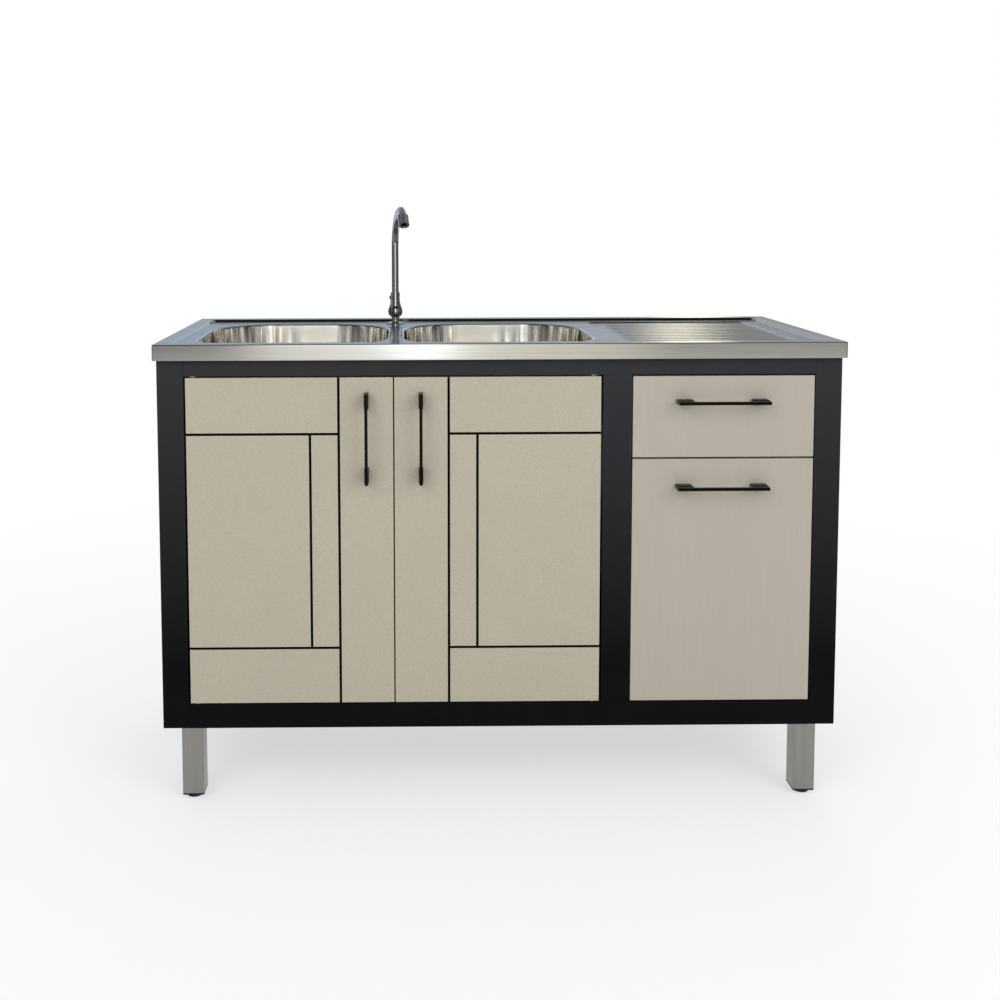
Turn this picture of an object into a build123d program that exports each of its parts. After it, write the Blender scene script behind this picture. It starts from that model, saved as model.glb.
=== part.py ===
from build123d import *
import math
import os

# A free-standing kitchen sink unit: a stainless worktop with two bowls, a drainer and a swan-neck tap,
# on a black cabinet with two pivoting doors, a drawer and a deep pull-out, on four square legs.
# Millimetres. X runs to the right, Y to the back and Z up. The origin is on the floor, in the middle of
# the width and midway between the handles' front faces and the worktop's back edge.

# ---------------------------------------------------------------- driving dimensions
# Worktop
TOP_WIDTH = 1200.0
TOP_DEPTH = 460.0
TOP_HEIGHT = 815.0  # floor to the raised border
TOP_CORNER = 4.0
SHEET = 1.0  # stainless sheet
LIP_HEIGHT = 28.0
LIP_OVER_CABINET = 1.0  # how far the lip hangs below the cabinet's top
BORDER_WIDTH = 25.0
BORDER_DROP = 6.0  # from the raised border down to the deck
BORDER_SLOPE = 30.0  # degrees from upright
DECK_CORNER = 14.0
BATTEN_CLEARANCE = 1.0  # inside the lip
BATTEN_TO_BOWL = 3.0  # between the front batten and the bowls

# Drainer
DRAINER_LENGTH = 326.0
DRAINER_MARGIN = 48.0  # from the worktop's front and back edges
DRAINER_RIGHT = 59.0  # from the worktop's right edge
DRAINER_DROP = 2.5
DRAINER_CORNER = 10.0
RIB_COUNT = 13
RIB_WIDTH = 13.0
RIB_HEIGHT = 2.2
RIB_MARGIN = 14.0  # bare strip at the drainer's left end

# Bowls
BOWL_DEPTH = 160.0  # below the deck
BOWL_CORNER = 112.0
BOWL_TAPER = 3.0  # degrees
BOWL_FOOT_RADIUS = 28.0
BOWL_BRIDGE = 30.0  # between the two bowls
BOWL_LEFT = 55.0  # from the worktop's left edge
BOWL_FRONT = 35.0  # from the worktop's front edge
BOWL_BACK = 70.0  # from the worktop's back edge
BOWL_TO_DRAINER = 34.0
BOWL_TO_PARTITION = 31.0

# Cabinet
SIDE_OVERHANG = 5.0  # of the worktop over the cabinet
FRONT_OVERHANG = 12.0
BACK_OVERHANG = 3.0
CABINET_FLOOR = 130.0  # underside of the cabinet
STILE_WIDTH = 46.0
MIDDLE_STILE_WIDTH = 50.5
TOP_RAIL_HEIGHT = 30.0
BOTTOM_RAIL_HEIGHT = 44.0
SIDE_THICKNESS = 18.0
SHELF_THICKNESS = 18.0
BACK_THICKNESS = 6.0
BACK_RAIL_THICKNESS = 18.0
BACK_RAIL_HEIGHT = 70.0

# Fronts
DOOR_THICKNESS = 18.0
GAP_SIDE = 3.5
GAP_TOP = 3.0
GAP_BOTTOM = 1.6
GAP_MEETING = 2.4
GROOVE_WIDTH = 4.5
GROOVE_DEPTH = 3.0
STRIP_WIDTH = 94.5  # handle strip between the meeting edge and the long groove
SHORT_STRIP_WIDTH = 50.0  # between the long groove and the short one
BAND_HEIGHT = 99.0  # plain band at the top and bottom of each door
DRAWER_FRONT_HEIGHT = 142.5

# Handles
HANDLE_LENGTH = 160.0
HANDLE_REACH = 28.0
HANDLE_THICKNESS = 5.4
HANDLE_FOOT_THICKNESS = 7.6
HANDLE_FOOT_LENGTH = 30.0
HANDLE_BAR_DEPTH = 6.0
HANDLE_END_SLANT = 5.0
HANDLE_EDGE = 1.0
HANDLE_FROM_MEETING = 46.0
DOOR_HANDLE_BELOW_TOP = 105.0  # from each front's top edge to its handle's middle
DRAWER_HANDLE_BELOW_TOP = 44.0
PULLOUT_HANDLE_BELOW_TOP = 47.5
HANDLE_OFF_CENTRE = -4.0
HANDLE_SCREW_RADIUS = 2.0
HANDLE_SCREW_GRIP = 14.0  # thread in the handle's foot
HANDLE_SCREW_HEAD_RADIUS = 4.0
HANDLE_SCREW_HEAD_HEIGHT = 2.0

# Door pivots and catches
PIVOT_RADIUS = 3.0
PIVOT_FROM_EDGE = 12.0
PIVOT_IN_DOOR = 22.0
PIVOT_IN_RAIL = 11.0
PIVOT_CLEARANCE = 0.05
BLIND_HOLE_GAP = 1.0  # left beyond the end of a pin or shaft
BUSH_WALL = 2.0
BUSH_TO_DOOR = 0.4  # between the lower bush's flange and the door
BUSH_FLANGE_RADIUS = 7.0
CATCH_LENGTH = 40.0
CATCH_DEPTH = 13.0
CATCH_HEIGHT = 26.0
CATCH_FROM_MEETING = 4.0  # from the meeting line to the catch's near end
CATCH_GAP = 0.6  # between catch and strike plate
STRIKE_THICKNESS = 1.4
STRIKE_BELOW_DOOR_TOP = 1.0

# Drawer and pull-out
BOX_LENGTH = 350.0  # of the boxes and their runners
BOX_WALL = 12.0
BOX_BOTTOM = 6.0
BOX_BOTTOM_INSET = 8.0
DRAWER_BOX_HEIGHT = 90.0
PULLOUT_BOX_HEIGHT = 330.0
BOX_ABOVE_FRONT_EDGE = 20.0
RUNNER_HEIGHT = 35.0
RUNNER_DEPTH = 12.5
RUNNER_SHEET = 1.5
RUNNER_GAP = 0.4
RUNNER_ABOVE_BOX_BOTTOM = 22.0
SPACER_HEIGHT = 60.0

# Legs and feet
LEG_SIDE = 38.0
LEG_WALL = 1.5
LEG_CORNER = 1.2
LEG_INSET_X = 31.5
LEG_INSET_Y = 2.0  # of the back legs
LEG_BEHIND_FRAME = 20.0  # how far a front leg reaches behind the frame
LEG_TOP_PLATE = 4.0
LEG_BLOCK = 60.0
LEG_BOLT_RADIUS = 4.0
LEG_BOLT_HEAD_RADIUS = 6.5
LEG_BOLT_HEAD = 5.3
LEG_BOLT_TIP_GAP = 6.0  # between its tip and the cabinet's floor panel
LEG_BOLT_FROM_WALL = 2.0  # clear of the tube for a spanner
PLUG_RIM = 2.5
PLUG_DEPTH = 18.0
PAD_RADIUS = 15.0
PAD_HEIGHT = 7.0
PAD_CLEARANCE = 0.3
PAD_FLAT_RADIUS = 11.0
FOOT_STEM_RADIUS = 4.0
FOOT_STEM_LENGTH = 30.0
FOOT_STEM_CLEARANCE = 0.05

# Tap
TAP_OFF_BRIDGE = -3.6  # to the right of the bridge's middle
TAP_FROM_BACK = 62.0
TAP_FLANGE_RADIUS = 20.0
TAP_FLANGE_HEIGHT = 4.0
TAP_FLANGE_EDGE = 1.5
TAP_FLANGE_LAND = 0.7  # flat ring at its top
TAP_STEM_RADIUS = 8.2
TAP_BULB_RADIUS = 15.2
TAP_BULB_START = 14.0  # above the deck
TAP_BULB_CENTRE = 25.0  # above the deck
TAP_SHOULDER_RADIUS = 12.0
TAP_SHOULDER_HEIGHT = 37.0  # above the deck
TAP_NECK_HEIGHT = 56.0  # above the deck
TAP_NECK_RADIUS = 9.2
PIPE_RADIUS = 7.2
PIPE_BORE_RADIUS = 5.6
COLLAR_RADIUS = 9.4
COLLAR_HEIGHT = 9.0
SWIVEL_GAP = 0.3
SPIGOT_RADIUS = 5.0
SPIGOT_WALL = 1.5
SPIGOT_RING = 2.0  # joins the spigot to the pipe
SPIGOT_LENGTH = 12.0
SPIGOT_CLEARANCE = 0.05
ARCH_START = 155.0  # above the deck
ARCH_BACK_RADIUS = 80.0
ARCH_FRONT_RADIUS = 41.0
ARCH_FRONT_TURN = 55.0  # degrees
SPOUT_TURN = 9.2  # degrees towards the right at rest
AERATOR_RADIUS = 10.4
AERATOR_LENGTH = 21.0
AERATOR_WALL = 1.6
AERATOR_SLEEVE = 6.0  # overlap of the aerator on the pipe
LEVER_HEIGHT = 28.0  # above the deck
LEVER_ANGLE = 25.0  # degrees towards the left
LEVER_HUB_RADIUS = 5.6
LEVER_HUB_LENGTH = 6.5
LEVER_BOSS_DEPTH = 5.6  # of the boss let into the bulb
LEVER_SHAFT_RADIUS = 2.5
LEVER_SHAFT_DEPTH = 8.0
LEVER_SHAFT_CLEARANCE = 0.05
LEVER_STEM_RADIUS = 2.1
LEVER_LENGTH = 28.0
LEVER_BALL_RADIUS = 4.6
TAIL_RADIUS = 10.5
TAIL_LENGTH = 52.0  # below the deck sheet
TAIL_BORE = 6.0
TAIL_THREAD_LENGTH = 20.0  # free thread for the supply hose
TAIL_RELIEF_DEPTH = 1.1
TAIL_RELIEF_LENGTH = 3.0
TAP_NUT_RADIUS = 17.0
TAP_NUT_HEIGHT = 7.0
TAP_WASHER_RADIUS = 19.0
TAP_WASHER_HEIGHT = 3.0

# Wastes
STRAINER_FLANGE_WIDTH = 14.0
STRAINER_FLANGE_HEIGHT = 2.0
STRAINER_FLANGE_EDGE = 1.0
STRAINER_CUP_RADIUS = 42.0
STRAINER_CUP_DEPTH = 38.0  # below the bowl floor
STRAINER_WALL = 2.0
STRAINER_NUT_WALL = 8.0
STRAINER_NUT_HEIGHT = 9.0
STRAINER_TAIL_RADIUS = 19.0
BASKET_CLEARANCE = 0.5
BASKET_DEPTH = 24.0
BASKET_WALL = 1.2
BASKET_RIM = 1.5
BASKET_HOLES = 8
BASKET_HOLE_RADIUS = 3.0
BASKET_HOLE_CIRCLE = 20.0  # radius of the ring of holes
BASKET_TAPER = 7.0  # narrower at its floor
BASKET_STEM_RADIUS = 3.0
BASKET_KNOB_RADIUS = 8.0
BASKET_KNOB_HEIGHT = 5.0
BASKET_KNOB_EDGE = 1.0
PIPE_WALL = 2.0
SLEEVE_WALL = 3.0
SLEEVE_OVERLAP = 20.0
CROSS_PIPE_RADIUS = 18.0
CROSS_BELOW_TAIL = 4.0  # between the tails' ends and the cross pipe
TRAP_RADIUS = 35.0
TRAP_HEIGHT = 105.0
TRAP_WALL = 2.0
TRAP_CORNER = 10.0
OUTLET_RADIUS = 20.0
OUTLET_NECK_STEP = 3.0
OUTLET_NECK_LENGTH = 50.0
OUTLET_BELOW_TRAP_TOP = 30.0
OUTLET_SHORT_OF_BACK = 5.0
CUTOUT_WIDTH = 180.0  # service cut-out in the back
CUTOUT_HEIGHT = 170.0
CUTOUT_BELOW_OUTLET = 35.0
SLIP_NUT_RADIUS = 27.0
SLIP_NUT_HEIGHT = 14.0
SLIP_NUT_TO_CUP = 6.0

# ---------------------------------------------------------------- derived places
# Worktop and cabinet outlines
FRAME_THICKNESS = DOOR_THICKNESS + STRIKE_THICKNESS + CATCH_GAP
CABINET_WIDTH = TOP_WIDTH - 2 * SIDE_OVERHANG
CABINET_FRONT = -(TOP_DEPTH - FRONT_OVERHANG - HANDLE_REACH) / 2
TOP_FRONT = CABINET_FRONT - FRONT_OVERHANG
TOP_BACK = TOP_FRONT + TOP_DEPTH
TOP_CENTRE = (TOP_FRONT + TOP_BACK) / 2
CABINET_BACK = TOP_BACK - BACK_OVERHANG
FRAME_BACK = CABINET_FRONT + FRAME_THICKNESS
DECK = TOP_HEIGHT - BORDER_DROP
CABINET_TOP = TOP_HEIGHT - LIP_HEIGHT + LIP_OVER_CABINET
SIDE = CABINET_WIDTH / 2
OPENING_BOTTOM = CABINET_FLOOR + BOTTOM_RAIL_HEIGHT
OPENING_TOP = CABINET_TOP - TOP_RAIL_HEIGHT
BACK_PANEL_FRONT = CABINET_BACK - BACK_RAIL_THICKNESS - BACK_THICKNESS
BATTEN_WIDTH = BOWL_FRONT - SHEET - BATTEN_CLEARANCE - BATTEN_TO_BOWL
DRAINER_WIDTH = TOP_DEPTH - 2 * DRAINER_MARGIN

# Bowls: they share the width that the drainer and the margins leave
BOWL_SPACE = TOP_WIDTH - BOWL_LEFT - BOWL_BRIDGE - BOWL_TO_DRAINER - DRAINER_LENGTH - DRAINER_RIGHT
BOWL_WIDTH = BOWL_SPACE / 2
BOWL_FRONT_TO_BACK = TOP_DEPTH - BOWL_FRONT - BOWL_BACK
BOWL_Y = TOP_FRONT + BOWL_FRONT + BOWL_FRONT_TO_BACK / 2
BOWL_LEFT_X = -TOP_WIDTH / 2 + BOWL_LEFT + BOWL_WIDTH / 2
BOWL_RIGHT_X = BOWL_LEFT_X + BOWL_WIDTH + BOWL_BRIDGE
BOWL_BOTTOM = DECK - BOWL_DEPTH
CUP_BOTTOM = BOWL_BOTTOM - STRAINER_CUP_DEPTH

# Bays of the front frame
PARTITION_START = BOWL_RIGHT_X + BOWL_WIDTH / 2 + BOWL_TO_PARTITION
BAY_RIGHT_START = PARTITION_START + SIDE_THICKNESS
BAY_RIGHT_END = SIDE - STILE_WIDTH
BAY_LEFT_START = -SIDE + STILE_WIDTH
BAY_LEFT_END = BAY_RIGHT_START - MIDDLE_STILE_WIDTH

# Wastes
SLEEVE_TOP = CUP_BOTTOM - SLIP_NUT_TO_CUP - SLIP_NUT_HEIGHT
TAIL_END = SLEEVE_TOP - SLEEVE_OVERLAP
CROSS_Z = TAIL_END - CROSS_BELOW_TAIL - CROSS_PIPE_RADIUS
TRAP_TOP = CROSS_Z - CROSS_PIPE_RADIUS - SLEEVE_WALL - SLEEVE_OVERLAP
OUTLET_HEIGHT = TRAP_TOP - OUTLET_BELOW_TRAP_TOP
STRAINER_NUT_RADIUS = STRAINER_CUP_RADIUS + STRAINER_NUT_WALL
STRAINER_FLANGE_RADIUS = STRAINER_CUP_RADIUS + STRAINER_FLANGE_WIDTH
OUTLET_NECK_RADIUS = OUTLET_RADIUS + OUTLET_NECK_STEP

# Fronts
MEETING_X = (BAY_LEFT_START + BAY_LEFT_END) / 2
DOOR_BACK = CABINET_FRONT + DOOR_THICKNESS
DOOR_BOTTOM = OPENING_BOTTOM + GAP_BOTTOM
DOOR_TOP = OPENING_TOP - GAP_TOP
PIVOT_Y = CABINET_FRONT + DOOR_THICKNESS / 2
FRONT_LEFT = BAY_RIGHT_START + GAP_SIDE / 2
FRONT_RIGHT = BAY_RIGHT_END - GAP_SIDE / 2
DRAWER_BOTTOM = DOOR_TOP - DRAWER_FRONT_HEIGHT
PULLOUT_TOP = DRAWER_BOTTOM - GAP_SIDE
DOOR_HANDLE_HEIGHT = DOOR_TOP - DOOR_HANDLE_BELOW_TOP
DRAWER_HANDLE_HEIGHT = DOOR_TOP - DRAWER_HANDLE_BELOW_TOP
PULLOUT_HANDLE_HEIGHT = PULLOUT_TOP - PULLOUT_HANDLE_BELOW_TOP
HANDLE_X = (FRONT_LEFT + FRONT_RIGHT) / 2 + HANDLE_OFF_CENTRE

# Drawer boxes
BOX_LEFT = BAY_RIGHT_START + RUNNER_DEPTH
BOX_RIGHT = BAY_RIGHT_END - RUNNER_DEPTH
BOX_BACK = DOOR_BACK + BOX_LENGTH
DRAWER_BOX_FLOOR = DRAWER_BOTTOM + BOX_ABOVE_FRONT_EDGE
PULLOUT_BOX_FLOOR = DOOR_BOTTOM + BOX_ABOVE_FRONT_EDGE

# Legs
FLOOR_UNDERSIDE = OPENING_BOTTOM - SHELF_THICKNESS
LEG_BOLT_START = CABINET_FLOOR - LEG_TOP_PLATE
LEG_BOLT_END = FLOOR_UNDERSIDE - LEG_BOLT_TIP_GAP

# Tap
TAP_X = (BOWL_LEFT_X + BOWL_RIGHT_X) / 2 + TAP_OFF_BRIDGE
TAP_Y = TOP_BACK - TAP_FROM_BACK
NECK_TOP = DECK + TAP_NECK_HEIGHT
TAIL_LOW = DECK - SHEET - TAIL_LENGTH
TAIL_RELIEF_RADIUS = TAIL_RADIUS - TAIL_RELIEF_DEPTH


# ---------------------------------------------------------------- small helpers
def block(x_range, y_range, z_range):
    """A box between two values on each axis."""
    size = [high - low for low, high in (x_range, y_range, z_range)]
    middle = [(high + low) / 2 for low, high in (x_range, y_range, z_range)]
    return Pos(*middle) * Box(*size)


def rod(radius, start, end):
    """A round bar from one point to another."""
    path = Vector(*end) - Vector(*start)
    seat = Plane(origin=Vector(*start), z_dir=path)
    return seat * Cylinder(radius, path.length, align=(Align.CENTER, Align.CENTER, Align.MIN))


def pipe(outer, inner, start, end):
    """A round tube from one point to another."""
    return rod(outer, start, end) - rod(inner, start, end)


def upright(radius, x, y, z_range):
    """A vertical round bar."""
    return rod(radius, (x, y, z_range[0]), (x, y, z_range[1]))


def turned(points, x, y):
    """A solid of revolution about the upright axis at x, y from (radius, height) points."""
    profile = make_face(Polyline(*[(radius, 0, height) for radius, height in points], close=True))
    return Pos(x, y, 0) * revolve(profile, Axis.Z)


def rounded_pan(width, depth, corner, top, drop, taper):
    """A rounded rectangle about the Z axis that narrows downwards from top by drop."""
    outline = Plane.XY.offset(top) * RectangleRounded(width, depth, corner)
    return extrude(outline, amount=-drop, taper=taper)


def save(name, *solids):
    """Writes one node; several separate solids go into one file as a group."""
    flat = [solid for shape in solids for solid in shape.solids()]
    whole = flat[0] if len(flat) == 1 else Compound(children=flat)
    whole.label = name
    export_step(whole, f"parts/{name}.step")


# ---------------------------------------------------------------- worktop
def bowl_positions():
    return (BOWL_LEFT_X, BOWL_RIGHT_X)


def drainer_place():
    right = TOP_WIDTH / 2 - DRAINER_RIGHT
    return Pos(right - DRAINER_LENGTH / 2, TOP_CENTRE, 0)


def worktop_sheet():
    """Pressed sheet with a turned-down lip, a raised border, a sunk deck and a ribbed drainer."""
    centre = Pos(0, TOP_CENTRE, 0)
    outer = RectangleRounded(TOP_WIDTH, TOP_DEPTH, TOP_CORNER)
    inner = RectangleRounded(TOP_WIDTH - 2 * SHEET, TOP_DEPTH - 2 * SHEET, TOP_CORNER - SHEET)
    shell = extrude(Plane.XY.offset(TOP_HEIGHT - LIP_HEIGHT) * outer, LIP_HEIGHT)
    shell -= extrude(Plane.XY.offset(TOP_HEIGHT - LIP_HEIGHT) * inner, LIP_HEIGHT - SHEET)

    deck_width = TOP_WIDTH - 2 * BORDER_WIDTH
    deck_depth = TOP_DEPTH - 2 * BORDER_WIDTH
    tray = rounded_pan(deck_width + 2 * SHEET, deck_depth + 2 * SHEET, DECK_CORNER + SHEET,
                       TOP_HEIGHT, BORDER_DROP + SHEET, BORDER_SLOPE)
    hollow = rounded_pan(deck_width, deck_depth, DECK_CORNER, TOP_HEIGHT, BORDER_DROP, BORDER_SLOPE)

    panel = rounded_pan(DRAINER_LENGTH + 2 * SHEET, DRAINER_WIDTH + 2 * SHEET, DRAINER_CORNER + SHEET,
                        DECK, DRAINER_DROP + SHEET, BORDER_SLOPE)
    sink = rounded_pan(DRAINER_LENGTH, DRAINER_WIDTH, DRAINER_CORNER, DECK, DRAINER_DROP, BORDER_SLOPE)
    sheet = centre * (shell + tray - hollow) + drainer_place() * panel - drainer_place() * sink
    sheet += drainer_ribs()

    for x in bowl_positions():
        sheet -= Pos(x, BOWL_Y, 0) * extrude(Plane.XY.offset(DECK - 2 * SHEET) * bowl_outline(0), 3 * SHEET)
    sheet -= upright(TAIL_RADIUS, TAP_X, TAP_Y, (DECK - 2 * SHEET, DECK + SHEET))
    return sheet


def drainer_ribs():
    """Long low ribs that run into the drainer's right-hand end."""
    floor = DECK - DRAINER_DROP
    pitch = DRAINER_WIDTH / (RIB_COUNT + 1)
    chord = RIB_WIDTH / 2
    right = TOP_WIDTH / 2 - DRAINER_RIGHT
    left = right - DRAINER_LENGTH + RIB_MARGIN
    flat_end = (DRAINER_DROP + SHEET) * math.tan(math.radians(BORDER_SLOPE))
    crown = ThreePointArc((-chord, 0), (0, RIB_HEIGHT), (chord, 0))
    section = make_face(crown + Line((chord, 0), (-chord, 0)))
    ribs = []
    for index in range(1, RIB_COUNT + 1):
        y = TOP_CENTRE - DRAINER_WIDTH / 2 + index * pitch
        seat = Plane(origin=(left, y, floor), x_dir=(0, 1, 0), z_dir=(1, 0, 0))
        ribs.append(extrude(seat * section, right - flat_end - left))
    return ribs


def bowl_outline(inset):
    return RectangleRounded(BOWL_WIDTH - 2 * inset, BOWL_FRONT_TO_BACK - 2 * inset, BOWL_CORNER - inset)


def bowl(x):
    """Deep-drawn bowl with rounded foot and a hole for its waste."""
    outer = extrude(Plane.XY.offset(DECK) * bowl_outline(0), amount=-BOWL_DEPTH - SHEET, taper=BOWL_TAPER)
    outer = fillet(outer.edges().group_by(Axis.Z)[0], BOWL_FOOT_RADIUS + SHEET)
    inner = extrude(Plane.XY.offset(DECK) * bowl_outline(SHEET), amount=-BOWL_DEPTH, taper=BOWL_TAPER)
    inner = fillet(inner.edges().group_by(Axis.Z)[0], BOWL_FOOT_RADIUS)
    pan = Pos(x, BOWL_Y, 0) * (outer - inner)
    return pan - upright(STRAINER_CUP_RADIUS, x, BOWL_Y, (BOWL_BOTTOM - 2 * SHEET, BOWL_BOTTOM + SHEET))


def worktop_battens():
    """Timber battens under the border and beside the drainer, which carry the sheet on the cabinet."""
    under = DECK - SHEET
    bottom = CABINET_TOP
    half = TOP_WIDTH / 2 - SHEET - BATTEN_CLEARANCE
    front = TOP_FRONT + SHEET + BATTEN_CLEARANCE
    back = TOP_BACK - SHEET - BATTEN_CLEARANCE
    inside = (front + BATTEN_WIDTH, back - BATTEN_WIDTH)
    long_front = block((-half, half), (front, inside[0]), (bottom, under))
    long_back = block((-half, half), (inside[1], back), (bottom, under))
    left = block((-half, -half + BATTEN_WIDTH), inside, (bottom, under))
    right = block((half - BATTEN_WIDTH, half), inside, (bottom, under))
    drainer_low = DECK - DRAINER_DROP - SHEET
    middle = block((PARTITION_START, PARTITION_START + BATTEN_WIDTH), inside, (bottom, drainer_low))
    return long_front, long_back, left, right, middle


# ---------------------------------------------------------------- cabinet
def stile(x_start, x_end):
    """Upright of the front frame."""
    return block((x_start, x_end), (CABINET_FRONT, FRAME_BACK), (CABINET_FLOOR, CABINET_TOP))


def middle_stile():
    return block((BAY_LEFT_END, BAY_RIGHT_START), (CABINET_FRONT, FRAME_BACK), (OPENING_BOTTOM, OPENING_TOP))


def pivot_positions():
    """The two upright door axes: left door, right door."""
    left = BAY_LEFT_START + GAP_SIDE + PIVOT_FROM_EDGE
    right = BAY_LEFT_END - GAP_SIDE - PIVOT_FROM_EDGE
    return left, right


def front_rail(z_range, hole_range):
    """Cross rail of the front frame, drilled for the door bushes."""
    rail = block((BAY_LEFT_START, BAY_RIGHT_END), (CABINET_FRONT, FRAME_BACK), z_range)
    for x in pivot_positions():
        rail -= upright(PIVOT_RADIUS + PIVOT_CLEARANCE + BUSH_WALL, x, PIVOT_Y, hole_range)
    return rail


def front_top_rail():
    return front_rail((OPENING_TOP, CABINET_TOP), (OPENING_TOP, OPENING_TOP + PIVOT_IN_RAIL))


def front_bottom_rail():
    return front_rail((CABINET_FLOOR, OPENING_BOTTOM), (OPENING_BOTTOM - PIVOT_IN_RAIL, OPENING_BOTTOM))


def side_panel(direction):
    outer = direction * SIDE
    inner = direction * (SIDE - SIDE_THICKNESS)
    x_range = (min(outer, inner), max(outer, inner))
    return block(x_range, (FRAME_BACK, CABINET_BACK), (CABINET_FLOOR, CABINET_TOP))


def floor_panel():
    inner = SIDE - SIDE_THICKNESS
    z_range = (FLOOR_UNDERSIDE, OPENING_BOTTOM)
    return block((-inner, inner), (FRAME_BACK, CABINET_BACK), z_range)


def partition():
    """Upright board between the cupboard and the drawers, behind the middle stile."""
    x_range = (PARTITION_START, BAY_RIGHT_START)
    return block(x_range, (FRAME_BACK, BACK_PANEL_FRONT), (OPENING_BOTTOM, CABINET_TOP))


def back_panel():
    """Thin back with a service cut-out for the waste pipe and the water hoses."""
    inner = SIDE - SIDE_THICKNESS
    y_range = (BACK_PANEL_FRONT, BACK_PANEL_FRONT + BACK_THICKNESS)
    panel = block((-inner, inner), y_range, (OPENING_BOTTOM, CABINET_TOP))
    low = OUTLET_HEIGHT - CUTOUT_BELOW_OUTLET
    x_range = (BOWL_RIGHT_X - CUTOUT_WIDTH / 2, BOWL_RIGHT_X + CUTOUT_WIDTH / 2)
    return panel - block(x_range, y_range, (low, low + CUTOUT_HEIGHT))


def back_rails():
    """Upper and lower rails behind the back panel, flush with the sides."""
    inner = SIDE - SIDE_THICKNESS
    y_range = (CABINET_BACK - BACK_RAIL_THICKNESS, CABINET_BACK)
    upper = block((-inner, inner), y_range, (CABINET_TOP - BACK_RAIL_HEIGHT, CABINET_TOP))
    lower = block((-inner, inner), y_range, (OPENING_BOTTOM, OPENING_BOTTOM + BACK_RAIL_HEIGHT))
    return upper, lower


def runner_spacers():
    """Boards that bring the right-hand runners level with the stile's edge."""
    x_range = (BAY_RIGHT_END, SIDE - SIDE_THICKNESS)
    spacers = []
    for height in runner_heights():
        z_range = (height - SPACER_HEIGHT / 2, height + SPACER_HEIGHT / 2)
        spacers.append(block(x_range, (FRAME_BACK, BACK_PANEL_FRONT), z_range))
    return spacers


# ---------------------------------------------------------------- legs
def leg_centres():
    """Leg name and centre, clockwise from the front left."""
    x = SIDE - LEG_INSET_X - LEG_SIDE / 2
    front = FRAME_BACK + LEG_BEHIND_FRAME - LEG_SIDE / 2
    back = CABINET_BACK - LEG_INSET_Y - LEG_SIDE / 2
    return {"front_left": (-x, front), "front_right": (x, front),
            "back_left": (-x, back), "back_right": (x, back)}


def leg_bolt_place(name):
    """The bolt stands off the leg's centre, towards the middle of the cabinet."""
    x, y = leg_centres()[name]
    inward = LEG_SIDE / 2 - LEG_WALL - LEG_BOLT_HEAD_RADIUS - LEG_BOLT_FROM_WALL
    return x, y + (inward if y < 0 else -inward)


def leg(name):
    """Square steel tube with a welded top plate."""
    x, y = leg_centres()[name]
    bottom = PAD_HEIGHT + PLUG_RIM
    outline = RectangleRounded(LEG_SIDE, LEG_SIDE, LEG_CORNER + LEG_WALL)
    inside = LEG_SIDE - 2 * LEG_WALL
    bore = RectangleRounded(inside, inside, LEG_CORNER)
    tube = extrude(outline, CABINET_FLOOR - bottom) - extrude(bore, CABINET_FLOOR - bottom - LEG_TOP_PLATE)
    tube = Pos(x, y, bottom) * tube
    bolt_x, bolt_y = leg_bolt_place(name)
    return tube - upright(LEG_BOLT_RADIUS, bolt_x, bolt_y, (LEG_BOLT_START, CABINET_FLOOR))


def leg_blocks():
    """Corner blocks under the cabinet floor that take the leg bolts."""
    blocks = []
    for name, (x, y) in leg_centres().items():
        x_start = SIDE - SIDE_THICKNESS - LEG_BLOCK if x > 0 else SIDE_THICKNESS - SIDE
        y_start = FRAME_BACK if y < 0 else CABINET_BACK - LEG_BLOCK
        x_range = (x_start, x_start + LEG_BLOCK)
        y_range = (y_start, y_start + LEG_BLOCK)
        bolt_x, bolt_y = leg_bolt_place(name)
        shape = block(x_range, y_range, (CABINET_FLOOR, FLOOR_UNDERSIDE))
        blocks.append(shape - upright(LEG_BOLT_RADIUS, bolt_x, bolt_y, (CABINET_FLOOR, LEG_BOLT_END)))
    return blocks


def leg_bolts():
    bolts = []
    for name in leg_centres():
        x, y = leg_bolt_place(name)
        shank = upright(LEG_BOLT_RADIUS, x, y, (LEG_BOLT_START, LEG_BOLT_END))
        head = extrude(RegularPolygon(LEG_BOLT_HEAD_RADIUS, 6), LEG_BOLT_HEAD)
        bolts.append(shank + Pos(x, y, LEG_BOLT_START - LEG_BOLT_HEAD) * head)
    return bolts


def leg_plugs():
    """Square plastic inserts in the leg ends, threaded for the feet."""
    plugs = []
    for x, y in leg_centres().values():
        inside = LEG_SIDE - 2 * LEG_WALL
        rim = Plane.XY.offset(PAD_HEIGHT) * RectangleRounded(LEG_SIDE, LEG_SIDE, LEG_CORNER + LEG_WALL)
        core = Plane.XY.offset(PAD_HEIGHT) * RectangleRounded(inside, inside, LEG_CORNER)
        plug = Pos(x, y, 0) * (extrude(rim, PLUG_RIM) + extrude(core, PLUG_RIM + PLUG_DEPTH))
        hole = (PAD_HEIGHT, PAD_HEIGHT + PLUG_RIM + PLUG_DEPTH)
        plugs.append(plug - upright(FOOT_STEM_RADIUS + FOOT_STEM_CLEARANCE, x, y, hole))
    return plugs


def foot(name):
    """Levelling foot: a domed pad on a threaded stem."""
    x, y = leg_centres()[name]
    pad_top = PAD_HEIGHT - PAD_CLEARANCE
    points = ((0, 0), (PAD_FLAT_RADIUS, 0), (PAD_RADIUS, pad_top / 2), (PAD_RADIUS, pad_top), (0, pad_top))
    stem = upright(FOOT_STEM_RADIUS, x, y, (pad_top, pad_top + FOOT_STEM_LENGTH))
    return turned(points, x, y) + stem


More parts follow.
